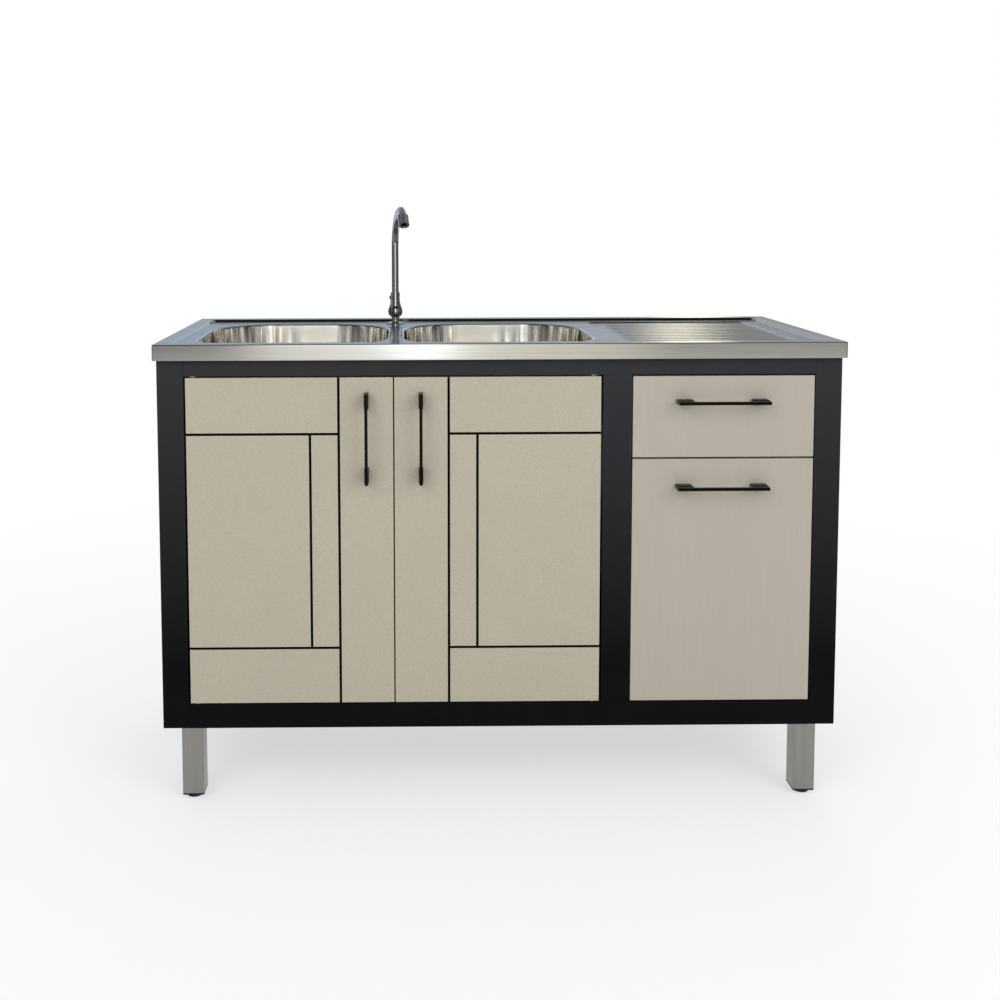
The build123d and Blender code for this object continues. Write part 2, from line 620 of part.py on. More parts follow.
# ---------------------------------------------------------------- doors
def door(hinge_x, meeting_x):
    """Door leaf with routed grooves, drilled for its pivots and handle screws."""
    low, high = min(hinge_x, meeting_x), max(hinge_x, meeting_x)
    inward = 1 if hinge_x < meeting_x else -1
    leaf = block((low, high), (CABINET_FRONT, DOOR_BACK), (DOOR_BOTTOM, DOOR_TOP))
    groove_y = (CABINET_FRONT, CABINET_FRONT + GROOVE_DEPTH)
    half = GROOVE_WIDTH / 2
    long_x = meeting_x - inward * STRIP_WIDTH
    short_x = long_x - inward * SHORT_STRIP_WIDTH
    leaf -= block((long_x - half, long_x + half), groove_y, (DOOR_BOTTOM, DOOR_TOP))
    for height in (DOOR_BOTTOM + BAND_HEIGHT, DOOR_TOP - BAND_HEIGHT):
        across = (min(hinge_x, long_x), max(hinge_x, long_x))
        leaf -= block(across, groove_y, (height - half, height + half))
    leaf -= block((short_x - half, short_x + half), groove_y,
                  (DOOR_BOTTOM + BAND_HEIGHT, DOOR_TOP - BAND_HEIGHT))
    pivot_x = hinge_x + inward * PIVOT_FROM_EDGE
    leaf -= upright(PIVOT_RADIUS, pivot_x, PIVOT_Y, (DOOR_BOTTOM, DOOR_BOTTOM + PIVOT_IN_DOOR))
    leaf -= upright(PIVOT_RADIUS, pivot_x, PIVOT_Y, (DOOR_TOP - PIVOT_IN_DOOR, DOOR_TOP))
    handle_x = meeting_x - inward * HANDLE_FROM_MEETING
    return leaf - screw_holes(handle_x, DOOR_HANDLE_HEIGHT, (0, 0, 1))


def door_edges():
    """Hinge edge and meeting edge of each door: left, right."""
    left = (BAY_LEFT_START + GAP_SIDE, MEETING_X - GAP_MEETING / 2)
    right = (BAY_LEFT_END - GAP_SIDE, MEETING_X + GAP_MEETING / 2)
    return left, right


def pivot_pins(x):
    """Steel pins pressed into the bottom and top edges of a door."""
    reach = PIVOT_IN_RAIL - BLIND_HOLE_GAP
    lower = upright(PIVOT_RADIUS, x, PIVOT_Y, (OPENING_BOTTOM - reach, DOOR_BOTTOM + PIVOT_IN_DOOR))
    upper = upright(PIVOT_RADIUS, x, PIVOT_Y, (DOOR_TOP - PIVOT_IN_DOOR, OPENING_TOP + reach))
    return lower, upper


def pivot_bushes():
    """Flanged nylon bushes in the rails, in which the door pins turn."""
    bushes = []
    inner = PIVOT_RADIUS + PIVOT_CLEARANCE
    for x in pivot_positions():
        for face, inward in ((OPENING_BOTTOM, 1), (OPENING_TOP, -1)):
            buried = face - inward * PIVOT_IN_RAIL
            proud = face + inward * (GAP_BOTTOM - BUSH_TO_DOOR)
            sleeve = pipe(inner + BUSH_WALL, inner, (x, PIVOT_Y, buried), (x, PIVOT_Y, face))
            flange = pipe(BUSH_FLANGE_RADIUS, inner, (x, PIVOT_Y, face), (x, PIVOT_Y, proud))
            bushes.append(sleeve + flange)
    return bushes


def catch_ranges():
    """Ranges along X of the two magnetic catches, beside the meeting line."""
    spans = []
    for side in (-1, 1):
        centre = MEETING_X + side * (CATCH_FROM_MEETING + CATCH_LENGTH / 2)
        spans.append((centre - CATCH_LENGTH / 2, centre + CATCH_LENGTH / 2))
    return spans


def door_catches():
    """Magnetic catches on the back of the top rail, reaching below it."""
    catches = []
    for span in catch_ranges():
        z_range = (OPENING_TOP - CATCH_HEIGHT / 2, OPENING_TOP + CATCH_HEIGHT / 2)
        catches.append(block(span, (FRAME_BACK, FRAME_BACK + CATCH_DEPTH), z_range))
    return catches


def door_fixings(span, handle_x):
    """Strike plate for the catch, and the two screws of the handle."""
    z_range = (OPENING_TOP - CATCH_HEIGHT / 2, DOOR_TOP - STRIKE_BELOW_DOOR_TOP)
    strike = block(span, (DOOR_BACK, DOOR_BACK + STRIKE_THICKNESS), z_range)
    return strike, handle_screws(handle_x, DOOR_HANDLE_HEIGHT, (0, 0, 1))


# ---------------------------------------------------------------- handles
def screw_spots(x, z, along):
    """The two screw axes of a handle that lies along the given direction."""
    reach = (HANDLE_LENGTH - HANDLE_FOOT_LENGTH) / 2
    return [(x + sign * reach * along[0], z + sign * reach * along[2]) for sign in (-1, 1)]


def screw_holes(x, z, along):
    holes = [rod(HANDLE_SCREW_RADIUS, (px, CABINET_FRONT, pz), (px, DOOR_BACK, pz))
             for px, pz in screw_spots(x, z, along)]
    return holes


def handle_screws(x, z, along):
    """Machine screws through a front into the feet of its handle, with their heads behind."""
    screws = []
    for px, pz in screw_spots(x, z, along):
        tip = CABINET_FRONT - HANDLE_SCREW_GRIP
        shank = rod(HANDLE_SCREW_RADIUS, (px, tip, pz), (px, DOOR_BACK, pz))
        head_end = DOOR_BACK + HANDLE_SCREW_HEAD_HEIGHT
        head = rod(HANDLE_SCREW_HEAD_RADIUS, (px, DOOR_BACK, pz), (px, head_end, pz))
        screws.append(shank + head)
    return Compound(children=screws)


def handle(x, z, along):
    """Flat bridge handle: a slim bar between two feet that widen towards the front panel."""
    half = HANDLE_LENGTH / 2
    inner = half - HANDLE_FOOT_LENGTH
    reach = HANDLE_REACH
    bar = HANDLE_BAR_DEPTH
    outline = Polyline(
        (-half + HANDLE_END_SLANT, 0), (-half, -reach + bar), (-half + HANDLE_EDGE, -reach),
        (half - HANDLE_EDGE, -reach), (half, -reach + bar), (half - HANDLE_END_SLANT, 0),
        (inner - HANDLE_END_SLANT, 0),
        (inner - 2 * HANDLE_END_SLANT, -reach + bar), (-inner + 2 * HANDLE_END_SLANT, -reach + bar),
        (-inner + HANDLE_END_SLANT, 0), close=True)
    bridge = extrude(make_face(outline), HANDLE_THICKNESS / 2, both=True)
    for side in (-1, 1):
        foot_x = sorted((side * (half - HANDLE_END_SLANT), side * inner))
        pad = block(foot_x, (-reach + 2 * bar, 0), (-HANDLE_FOOT_THICKNESS / 2, HANDLE_FOOT_THICKNESS / 2))
        bridge += pad
        bore = side * (HANDLE_LENGTH - HANDLE_FOOT_LENGTH) / 2
        bridge -= rod(HANDLE_SCREW_RADIUS, (bore, -HANDLE_SCREW_GRIP, 0), (bore, 0, 0))
    turn = Rot(0, -90, 0) if along[2] else Rot(0, 0, 0)
    return Pos(x, CABINET_FRONT, z) * turn * bridge


# ---------------------------------------------------------------- drawer and pull-out
def plain_front(z_range, handle_z):
    """Plain front board with holes for its handle screws."""
    board = block((FRONT_LEFT, FRONT_RIGHT), (CABINET_FRONT, DOOR_BACK), z_range)
    return board - screw_holes(HANDLE_X, handle_z, (1, 0, 0))


def box_walls(floor, height):
    """Two side boards and a back board, slotted for the bottom."""
    z_range = (floor, floor + height)
    y_range = (DOOR_BACK, BOX_BACK)
    left = block((BOX_LEFT, BOX_LEFT + BOX_WALL), y_range, z_range)
    right = block((BOX_RIGHT - BOX_WALL, BOX_RIGHT), y_range, z_range)
    back = block((BOX_LEFT + BOX_WALL, BOX_RIGHT - BOX_WALL), (BOX_BACK - BOX_WALL, BOX_BACK), z_range)
    slot = box_bottom(floor)
    return left - slot, right - slot, back - slot


def box_bottom(floor):
    """Thin bottom board let half-way into the walls."""
    into = BOX_WALL / 2
    low = floor + BOX_BOTTOM_INSET
    return block((BOX_LEFT + into, BOX_RIGHT - into), (DOOR_BACK, BOX_BACK - into), (low, low + BOX_BOTTOM))


def runner_heights():
    """Middle heights of the runners of the drawer and of the pull-out."""
    rise = RUNNER_ABOVE_BOX_BOTTOM + RUNNER_HEIGHT / 2
    return [floor + rise for floor in (DRAWER_BOX_FLOOR, PULLOUT_BOX_FLOOR)]


def runner_tracks():
    """Channels fixed to the partition and to the spacers."""
    tracks = []
    y_range = (FRAME_BACK, FRAME_BACK + BOX_LENGTH)
    web = RUNNER_DEPTH - RUNNER_GAP
    for height in runner_heights():
        z_low, z_high = height - RUNNER_HEIGHT / 2, height + RUNNER_HEIGHT / 2
        for wall, inward in ((BAY_RIGHT_START, 1), (BAY_RIGHT_END, -1)):
            outer = block(sorted((wall, wall + inward * web)), y_range, (z_low, z_high))
            hollow = block(sorted((wall + inward * RUNNER_SHEET, wall + inward * RUNNER_DEPTH)),
                           y_range, (z_low + RUNNER_SHEET, z_high - RUNNER_SHEET))
            tracks.append(outer - hollow)
    return tracks


def runner_bars(height):
    """Sliding members on the sides of a box, one in each channel."""
    bars = []
    reach = RUNNER_HEIGHT / 2 - RUNNER_SHEET - RUNNER_GAP
    for face, outward in ((BOX_LEFT, -1), (BOX_RIGHT, 1)):
        tip = face + outward * (RUNNER_DEPTH - RUNNER_SHEET - RUNNER_GAP)
        y_range = (DOOR_BACK, DOOR_BACK + BOX_LENGTH)
        bars.append(block(sorted((face, tip)), y_range, (height - reach, height + reach)))
    return bars


# ---------------------------------------------------------------- tap
def tap_flange():
    """Low cover ring on the deck."""
    top = DECK + TAP_FLANGE_HEIGHT
    points = ((TAIL_RADIUS, DECK), (TAP_FLANGE_RADIUS, DECK), (TAP_FLANGE_RADIUS, DECK + TAP_FLANGE_EDGE),
              (TAIL_RADIUS + TAP_FLANGE_LAND, top), (TAIL_RADIUS, top))
    return turned(points, TAP_X, TAP_Y)


def lever_frame():
    """Plane at the lever hub's back face on the bulb, looking out along the hub's axis."""
    turn = math.radians(LEVER_ANGLE)
    out = Vector(-math.sin(turn), -math.cos(turn), 0)
    centre = Vector(TAP_X, TAP_Y, DECK + LEVER_HEIGHT)
    return Plane(origin=centre + out * (TAP_BULB_RADIUS + SWIVEL_GAP), x_dir=(0, 0, 1), z_dir=out)


def tap_body():
    """Stem, onion-shaped bulb and neck, with the threaded tail below the deck."""
    top = DECK + TAP_FLANGE_HEIGHT
    bulb_low = DECK + TAP_BULB_START
    bulb_mid = DECK + TAP_BULB_CENTRE
    side = Line((0, top), (TAP_STEM_RADIUS, top)) + Line((TAP_STEM_RADIUS, top), (TAP_STEM_RADIUS, bulb_low))
    side += TangentArc((TAP_BULB_RADIUS, bulb_mid), (TAP_STEM_RADIUS, bulb_low), tangent=(0, -1))
    side += Spline((TAP_BULB_RADIUS, bulb_mid), (TAP_SHOULDER_RADIUS, DECK + TAP_SHOULDER_HEIGHT),
                   (TAP_NECK_RADIUS, NECK_TOP), tangents=((0, 1), (0, 1)))
    side += Line((TAP_NECK_RADIUS, NECK_TOP), (0, NECK_TOP)) + Line((0, NECK_TOP), (0, top))
    body = Pos(TAP_X, TAP_Y, 0) * revolve(Plane.XZ * make_face(side), Axis.Z)
    relief_low = TAIL_LOW + TAIL_THREAD_LENGTH
    relief_high = relief_low + TAIL_RELIEF_LENGTH
    body += upright(TAIL_RADIUS, TAP_X, TAP_Y, (TAIL_LOW, relief_low))
    body += upright(TAIL_RELIEF_RADIUS, TAP_X, TAP_Y, (relief_low, relief_high))
    body += upright(TAIL_RADIUS, TAP_X, TAP_Y, (relief_high, top))
    body -= upright(TAIL_BORE, TAP_X, TAP_Y, (TAIL_LOW, DECK))
    spigot_low = NECK_TOP - SPIGOT_LENGTH - BLIND_HOLE_GAP
    body -= upright(SPIGOT_RADIUS + SPIGOT_CLEARANCE, TAP_X, TAP_Y, (spigot_low, NECK_TOP))
    seat = lever_frame().offset(-SWIVEL_GAP)
    down_from_top = (Align.CENTER, Align.CENTER, Align.MAX)
    body += seat * Cylinder(LEVER_HUB_RADIUS, LEVER_BOSS_DEPTH, align=down_from_top)
    return body - seat * Cylinder(LEVER_SHAFT_RADIUS + LEVER_SHAFT_CLEARANCE,
                                  LEVER_SHAFT_DEPTH + BLIND_HOLE_GAP, align=down_from_top)


def tap_lever():
    """Hub with a shaft into the bulb, a thin upright stem and a ball."""
    seat = lever_frame()
    up_from_base = (Align.CENTER, Align.CENTER, Align.MIN)
    hub = seat * Cylinder(LEVER_HUB_RADIUS, LEVER_HUB_LENGTH, align=up_from_base)
    hub += seat * Cylinder(LEVER_SHAFT_RADIUS, 2 * (LEVER_SHAFT_DEPTH + SWIVEL_GAP))
    centre = seat.origin + seat.z_dir * LEVER_HUB_LENGTH / 2
    tip = centre + Vector(0, 0, LEVER_LENGTH)
    hub += rod(LEVER_STEM_RADIUS, centre, tip)
    return hub + Pos(*tip) * Sphere(LEVER_BALL_RADIUS)


def spout_path():
    """Centre line of the swan neck in its own plane: x forwards, y up from the collar's foot."""
    start = (0, 0)
    rise = (0, DECK + ARCH_START - NECK_TOP - SWIVEL_GAP)
    back_centre = (ARCH_BACK_RADIUS, rise[1])
    apex = (ARCH_BACK_RADIUS, rise[1] + ARCH_BACK_RADIUS)
    half = math.radians(45)
    lean = ARCH_BACK_RADIUS * math.sin(half)
    back_mid = (back_centre[0] - lean, back_centre[1] + lean)
    front_y = apex[1] - ARCH_FRONT_RADIUS
    points = []
    for share in (0.5, 1.0):
        turn = math.radians(ARCH_FRONT_TURN * share)
        out = ARCH_FRONT_RADIUS * math.sin(turn)
        points.append((apex[0] + out, front_y + ARCH_FRONT_RADIUS * math.cos(turn)))
    path = Line(start, rise) + ThreePointArc(rise, back_mid, apex) + ThreePointArc(apex, *points)
    return path, points[-1]


def spout_plane():
    """Upright plane through the tap's axis, turned towards where the spout points."""
    turn = math.radians(SPOUT_TURN)
    forwards = Vector(math.sin(turn), -math.cos(turn), 0)
    origin = Vector(TAP_X, TAP_Y, NECK_TOP + SWIVEL_GAP)
    return Plane(origin=origin, x_dir=forwards, z_dir=forwards.cross(Vector(0, 0, 1)))


def tap_spout():
    """Swan-neck pipe with a collar and a spigot that turns in the neck."""
    path, _ = spout_path()
    route = spout_plane() * path
    foot_plane = Plane(origin=spout_plane().origin, z_dir=(0, 0, 1))
    neck = sweep(foot_plane * Circle(PIPE_RADIUS), path=route)
    bore = sweep(foot_plane * Circle(PIPE_BORE_RADIUS), path=route)
    up_from_base = (Align.CENTER, Align.CENTER, Align.MIN)
    neck += foot_plane * Cylinder(COLLAR_RADIUS, COLLAR_HEIGHT, align=up_from_base)
    neck -= bore
    base = foot_plane.origin.Z
    spigot_low = base - SPIGOT_LENGTH
    spigot_bore = SPIGOT_RADIUS - SPIGOT_WALL
    spigot = pipe(SPIGOT_RADIUS, spigot_bore, (TAP_X, TAP_Y, spigot_low), (TAP_X, TAP_Y, base))
    middle_of_wall = (PIPE_RADIUS + PIPE_BORE_RADIUS) / 2
    ring = pipe(middle_of_wall, spigot_bore, (TAP_X, TAP_Y, base), (TAP_X, TAP_Y, base + SPIGOT_RING))
    return neck + spigot + ring


def tap_aerator():
    """Short chromed sleeve screwed over the pipe's end."""
    _, end = spout_path()
    turn = math.radians(ARCH_FRONT_TURN)
    plane = spout_plane()
    along = plane.x_dir * math.cos(turn) - Vector(0, 0, 1) * math.sin(turn)
    tip = plane.from_local_coords(Vector(end[0], end[1], 0))
    seat = Plane(origin=tip - along * AERATOR_SLEEVE, z_dir=along)
    up_from_base = (Align.CENTER, Align.CENTER, Align.MIN)
    sleeve = seat * Cylinder(AERATOR_RADIUS, AERATOR_LENGTH, align=up_from_base)
    sleeve -= seat * Cylinder(PIPE_RADIUS, AERATOR_SLEEVE, align=up_from_base)
    mouth = seat.offset(AERATOR_SLEEVE)
    sleeve -= mouth * Cylinder(PIPE_BORE_RADIUS, AERATOR_LENGTH, align=up_from_base)
    lip = seat.offset(AERATOR_LENGTH - AERATOR_WALL)
    return sleeve - lip * Cylinder(AERATOR_RADIUS - AERATOR_WALL, AERATOR_WALL, align=up_from_base)


def tap_nut():
    """Back nut and washer that clamp the tap to the deck."""
    under = DECK - SHEET
    washer_low = under - TAP_WASHER_HEIGHT
    axis = (TAP_X, TAP_Y)
    washer = pipe(TAP_WASHER_RADIUS, TAIL_RADIUS, (*axis, washer_low), (*axis, under))
    hexagon = extrude(Plane.XY.offset(washer_low - TAP_NUT_HEIGHT) * RegularPolygon(TAP_NUT_RADIUS, 6),
                      TAP_NUT_HEIGHT)
    nut = Pos(*axis, 0) * hexagon - upright(TAIL_RADIUS, *axis, (washer_low - TAP_NUT_HEIGHT, washer_low))
    return washer, nut


# ---------------------------------------------------------------- wastes
def strainer_body(x):
    """Basket waste: flange on the bowl floor, cup through the hole and tail pipe."""
    top = BOWL_BOTTOM + STRAINER_FLANGE_HEIGHT
    inner = STRAINER_CUP_RADIUS - STRAINER_WALL
    tail_inner = STRAINER_TAIL_RADIUS - STRAINER_WALL
    points = (
        (tail_inner, TAIL_END), (STRAINER_TAIL_RADIUS, TAIL_END), (STRAINER_TAIL_RADIUS, CUP_BOTTOM),
        (STRAINER_CUP_RADIUS, CUP_BOTTOM), (STRAINER_CUP_RADIUS, BOWL_BOTTOM),
        (STRAINER_FLANGE_RADIUS, BOWL_BOTTOM), (STRAINER_FLANGE_RADIUS - STRAINER_FLANGE_EDGE, top),
        (inner + STRAINER_WALL, top), (inner, BOWL_BOTTOM), (inner, CUP_BOTTOM + STRAINER_WALL),
        (tail_inner, CUP_BOTTOM + STRAINER_WALL))
    return turned(points, x, BOWL_Y)


def waste_nuts():
    """Ring nuts that clamp the wastes from below, and the slip nuts on their tails."""
    under = BOWL_BOTTOM - SHEET
    nuts = []
    for x in bowl_positions():
        ring_low = (x, BOWL_Y, under - STRAINER_NUT_HEIGHT)
        slip_top = (x, BOWL_Y, SLEEVE_TOP + SLIP_NUT_HEIGHT)
        nuts.append(pipe(STRAINER_NUT_RADIUS, STRAINER_CUP_RADIUS, ring_low, (x, BOWL_Y, under)))
        nuts.append(pipe(SLIP_NUT_RADIUS, STRAINER_TAIL_RADIUS, (x, BOWL_Y, SLEEVE_TOP), slip_top))
    return nuts


def strainer_basket(x):
    """Perforated lift-out cup with a knob."""
    outer = STRAINER_CUP_RADIUS - STRAINER_WALL - BASKET_CLEARANCE
    rim_top = BOWL_BOTTOM + BASKET_CLEARANCE
    floor = rim_top - BASKET_DEPTH
    narrow = outer - BASKET_TAPER
    points = (
        (0, floor), (narrow, floor), (outer, rim_top - BASKET_RIM), (outer, rim_top),
        (outer - BASKET_WALL, rim_top), (narrow - BASKET_WALL, floor + BASKET_WALL),
        (BASKET_STEM_RADIUS, floor + BASKET_WALL), (BASKET_STEM_RADIUS, rim_top - BASKET_KNOB_HEIGHT),
        (BASKET_KNOB_RADIUS, rim_top - BASKET_KNOB_HEIGHT + BASKET_KNOB_EDGE),
        (BASKET_KNOB_RADIUS, rim_top), (0, rim_top))
    basket = turned(points, x, BOWL_Y)
    for index in range(BASKET_HOLES):
        turn = 2 * math.pi * index / BASKET_HOLES
        hole_x = x + BASKET_HOLE_CIRCLE * math.cos(turn)
        hole_y = BOWL_Y + BASKET_HOLE_CIRCLE * math.sin(turn)
        basket -= upright(BASKET_HOLE_RADIUS, hole_x, hole_y, (floor, floor + BASKET_WALL))
    return basket


def waste_elbow():
    """Cap sleeve on the left tail with a side branch."""
    bottom = CROSS_Z - CROSS_PIPE_RADIUS - SLEEVE_WALL
    outer = STRAINER_TAIL_RADIUS + SLEEVE_WALL
    x = BOWL_LEFT_X
    branch_end = (x + outer + SLEEVE_OVERLAP, BOWL_Y, CROSS_Z)
    elbow = upright(outer, x, BOWL_Y, (bottom, SLEEVE_TOP))
    elbow += rod(CROSS_PIPE_RADIUS + SLEEVE_WALL, (x, BOWL_Y, CROSS_Z), branch_end)
    elbow -= upright(STRAINER_TAIL_RADIUS, x, BOWL_Y, (bottom + SLEEVE_WALL, SLEEVE_TOP))
    return elbow - rod(CROSS_PIPE_RADIUS, (x, BOWL_Y, CROSS_Z), branch_end)


def waste_tee():
    """Sleeve on the right tail with a side branch and an open bottom."""
    bottom = CROSS_Z - CROSS_PIPE_RADIUS - SLEEVE_WALL
    outer = STRAINER_TAIL_RADIUS + SLEEVE_WALL
    x = BOWL_RIGHT_X
    branch_end = (x - outer - SLEEVE_OVERLAP, BOWL_Y, CROSS_Z)
    tee = upright(outer, x, BOWL_Y, (bottom - SLEEVE_OVERLAP, SLEEVE_TOP))
    tee += rod(CROSS_PIPE_RADIUS + SLEEVE_WALL, (x, BOWL_Y, CROSS_Z), branch_end)
    tee -= upright(STRAINER_TAIL_RADIUS, x, BOWL_Y, (bottom - SLEEVE_OVERLAP, SLEEVE_TOP))
    return tee - rod(CROSS_PIPE_RADIUS, (x, BOWL_Y, CROSS_Z), branch_end)


def cross_pipe():
    """Level pipe that joins the two wastes."""
    edge = STRAINER_TAIL_RADIUS + SLEEVE_WALL
    start = (BOWL_LEFT_X + edge, BOWL_Y, CROSS_Z)
    end = (BOWL_RIGHT_X - edge, BOWL_Y, CROSS_Z)
    return pipe(CROSS_PIPE_RADIUS, CROSS_PIPE_RADIUS - PIPE_WALL, start, end)


def waste_trap():
    """Bottle trap below the tee, with its outlet pipe through the back."""
    x = BOWL_RIGHT_X
    top = TRAP_TOP
    height = OUTLET_HEIGHT
    neck = STRAINER_TAIL_RADIUS + SLEEVE_WALL
    low = top - TRAP_HEIGHT
    corner = TRAP_CORNER
    points = (
        (0, low), (TRAP_RADIUS - corner, low), (TRAP_RADIUS, low + corner), (TRAP_RADIUS, top - corner),
        (neck, top), (STRAINER_TAIL_RADIUS, top), (STRAINER_TAIL_RADIUS, top - corner),
        (TRAP_RADIUS - TRAP_WALL, top - corner - TRAP_WALL), (TRAP_RADIUS - TRAP_WALL, low + corner),
        (TRAP_RADIUS - corner, low + TRAP_WALL), (0, low + TRAP_WALL))
    bottle = turned(points, x, BOWL_Y)
    end_y = CABINET_BACK - OUTLET_SHORT_OF_BACK
    neck_end = BOWL_Y + TRAP_RADIUS + OUTLET_NECK_LENGTH
    outlet = rod(OUTLET_NECK_RADIUS, (x, BOWL_Y, height), (x, neck_end, height))
    outlet += rod(OUTLET_RADIUS, (x, BOWL_Y, height), (x, end_y, height))
    bottle += outlet - upright(TRAP_RADIUS - TRAP_WALL, x, BOWL_Y, (low, top))
    return bottle - rod(OUTLET_RADIUS - TRAP_WALL, (x, BOWL_Y, height), (x, end_y, height))


# ---------------------------------------------------------------- all nodes
def main():
    os.makedirs("parts", exist_ok=True)
    across = (1, 0, 0)
    upwards = (0, 0, 1)

    save("worktop_sheet", worktop_sheet())
    save("bowl_left", bowl(BOWL_LEFT_X))
    save("bowl_right", bowl(BOWL_RIGHT_X))
    save("worktop_battens", *worktop_battens())

    save("stile_left", stile(-SIDE, BAY_LEFT_START))
    save("stile_middle", middle_stile())
    save("stile_right", stile(BAY_RIGHT_END, SIDE))
    save("front_top_rail", front_top_rail())
    save("front_bottom_rail", front_bottom_rail())
    save("side_panel_left", side_panel(-1))
    save("side_panel_right", side_panel(1))
    save("floor_panel", floor_panel())
    save("partition", partition())
    save("back_panel", back_panel())
    save("inner_rails", *back_rails(), *runner_spacers())
    save("runner_tracks", *runner_tracks())

    for name in leg_centres():
        save(f"leg_{name}", leg(name))
        save(f"foot_{name}", foot(name))
    save("leg_blocks", *leg_blocks())
    save("leg_bolts", *leg_bolts())
    save("leg_plugs", *leg_plugs())

    names = ("left", "right")
    for name, edges, axis_x, span in zip(names, door_edges(), pivot_positions(), catch_ranges()):
        inward = 1 if edges[0] < edges[1] else -1
        handle_x = edges[1] - inward * HANDLE_FROM_MEETING
        save(f"door_{name}", door(*edges))
        save(f"door_handle_{name}", handle(handle_x, DOOR_HANDLE_HEIGHT, upwards))
        save(f"door_fixings_{name}", *pivot_pins(axis_x), *door_fixings(span, handle_x))
    save("pivot_bushes", *pivot_bushes())
    save("door_catches", *door_catches())

    drawer_runner, pullout_runner = runner_heights()
    save("drawer_front", plain_front((DRAWER_BOTTOM, DOOR_TOP), DRAWER_HANDLE_HEIGHT))
    save("drawer_box", *box_walls(DRAWER_BOX_FLOOR, DRAWER_BOX_HEIGHT), box_bottom(DRAWER_BOX_FLOOR))
    save("drawer_slides", *runner_bars(drawer_runner))
    save("drawer_handle", handle(HANDLE_X, DRAWER_HANDLE_HEIGHT, across))
    save("drawer_screws", handle_screws(HANDLE_X, DRAWER_HANDLE_HEIGHT, across))
    save("pullout_front", plain_front((DOOR_BOTTOM, PULLOUT_TOP), PULLOUT_HANDLE_HEIGHT))
    save("pullout_box", *box_walls(PULLOUT_BOX_FLOOR, PULLOUT_BOX_HEIGHT), box_bottom(PULLOUT_BOX_FLOOR))
    save("pullout_slides", *runner_bars(pullout_runner))
    save("pullout_handle", handle(HANDLE_X, PULLOUT_HANDLE_HEIGHT, across))
    save("pullout_screws", handle_screws(HANDLE_X, PULLOUT_HANDLE_HEIGHT, across))

    save("tap_flange", tap_flange())
    save("tap_body", tap_body())
    save("tap_lever", tap_lever())
    save("tap_spout", tap_spout())
    save("tap_aerator", tap_aerator())
    save("tap_nut", *tap_nut())

    for name, x in zip(names, bowl_positions()):
        save(f"strainer_{name}", strainer_body(x))
        save(f"strainer_basket_{name}", strainer_basket(x))
    save("waste_nuts", *waste_nuts())
    save("waste_elbow", waste_elbow())
    save("waste_tee", waste_tee())
    save("cross_pipe", cross_pipe())
    save("waste_trap", waste_trap())


main()
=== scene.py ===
import math

import bmesh
import bpy
from bpy.props import FloatProperty, FloatVectorProperty, IntProperty, PointerProperty
from mathutils import Matrix, Vector


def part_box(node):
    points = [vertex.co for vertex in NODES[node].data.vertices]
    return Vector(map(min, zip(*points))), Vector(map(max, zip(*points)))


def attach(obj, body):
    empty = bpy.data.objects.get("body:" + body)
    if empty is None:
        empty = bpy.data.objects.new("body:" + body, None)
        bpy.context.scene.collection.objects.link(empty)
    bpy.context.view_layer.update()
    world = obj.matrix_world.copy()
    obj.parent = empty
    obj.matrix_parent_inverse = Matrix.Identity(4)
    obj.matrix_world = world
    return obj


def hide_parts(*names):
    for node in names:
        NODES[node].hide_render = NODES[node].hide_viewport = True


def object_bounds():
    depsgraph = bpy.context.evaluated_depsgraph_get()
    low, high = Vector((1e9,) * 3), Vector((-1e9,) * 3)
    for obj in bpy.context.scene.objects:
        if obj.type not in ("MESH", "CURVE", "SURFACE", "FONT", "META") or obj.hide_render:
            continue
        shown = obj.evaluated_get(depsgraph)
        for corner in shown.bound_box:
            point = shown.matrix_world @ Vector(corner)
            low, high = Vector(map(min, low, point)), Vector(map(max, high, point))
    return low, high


bl_info = {
    "name": "Kitchen Sink Unit",
    "version": (1, 0, 0),
    "blender": (4, 5, 0),
    "location": "View3D > Sidebar > Sink Unit",
    "description": "Models and finishes a kitchen sink unit with two bowls, a drainer, doors and drawers",
    "category": "Object",
}

# Models the worktop, bowls, handles and feet with their bends and rounded edges, finishes every other
# piece, and stages the unit. Metres: X runs to the right, Y to the back and Z up.
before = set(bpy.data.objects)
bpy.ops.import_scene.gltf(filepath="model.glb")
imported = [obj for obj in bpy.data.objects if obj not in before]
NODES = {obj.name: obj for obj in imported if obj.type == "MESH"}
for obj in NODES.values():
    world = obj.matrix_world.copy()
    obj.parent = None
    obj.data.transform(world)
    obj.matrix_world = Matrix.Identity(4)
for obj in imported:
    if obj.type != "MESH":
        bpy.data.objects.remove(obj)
CAD_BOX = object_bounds()
MM = 0.001
TOUCH = 1e-6  # points closer than this, in metres, are one point
SIDES = ("left", "right")


# -------------------------------- settings
def linear(value):
    """Linear red, green, blue and alpha of an sRGB hex value."""
    channels = [int(value[start:start + 2], 16) / 255 for start in (0, 2, 4)]
    return tuple(c / 12.92 if c <= 0.04045 else ((c + 0.055) / 1.055) ** 2.4 for c in channels) + (1.0,)


def length(label, text, millimetres):
    """A length property with its default in millimetres."""
    return FloatProperty(name=label, description=text, default=millimetres * MM, min=0.0,
                         unit="LENGTH", precision=4)


def angle(label, text, degrees):
    """An angle property with its default in degrees."""
    return FloatProperty(name=label, description=text, default=math.radians(degrees), subtype="ANGLE")


def tint(label, text, value):
    """A colour property with its default as an sRGB hex value."""
    return FloatVectorProperty(name=label, description=text, default=linear(value)[:3], size=3,
                               subtype="COLOR", min=0.0, max=1.0)


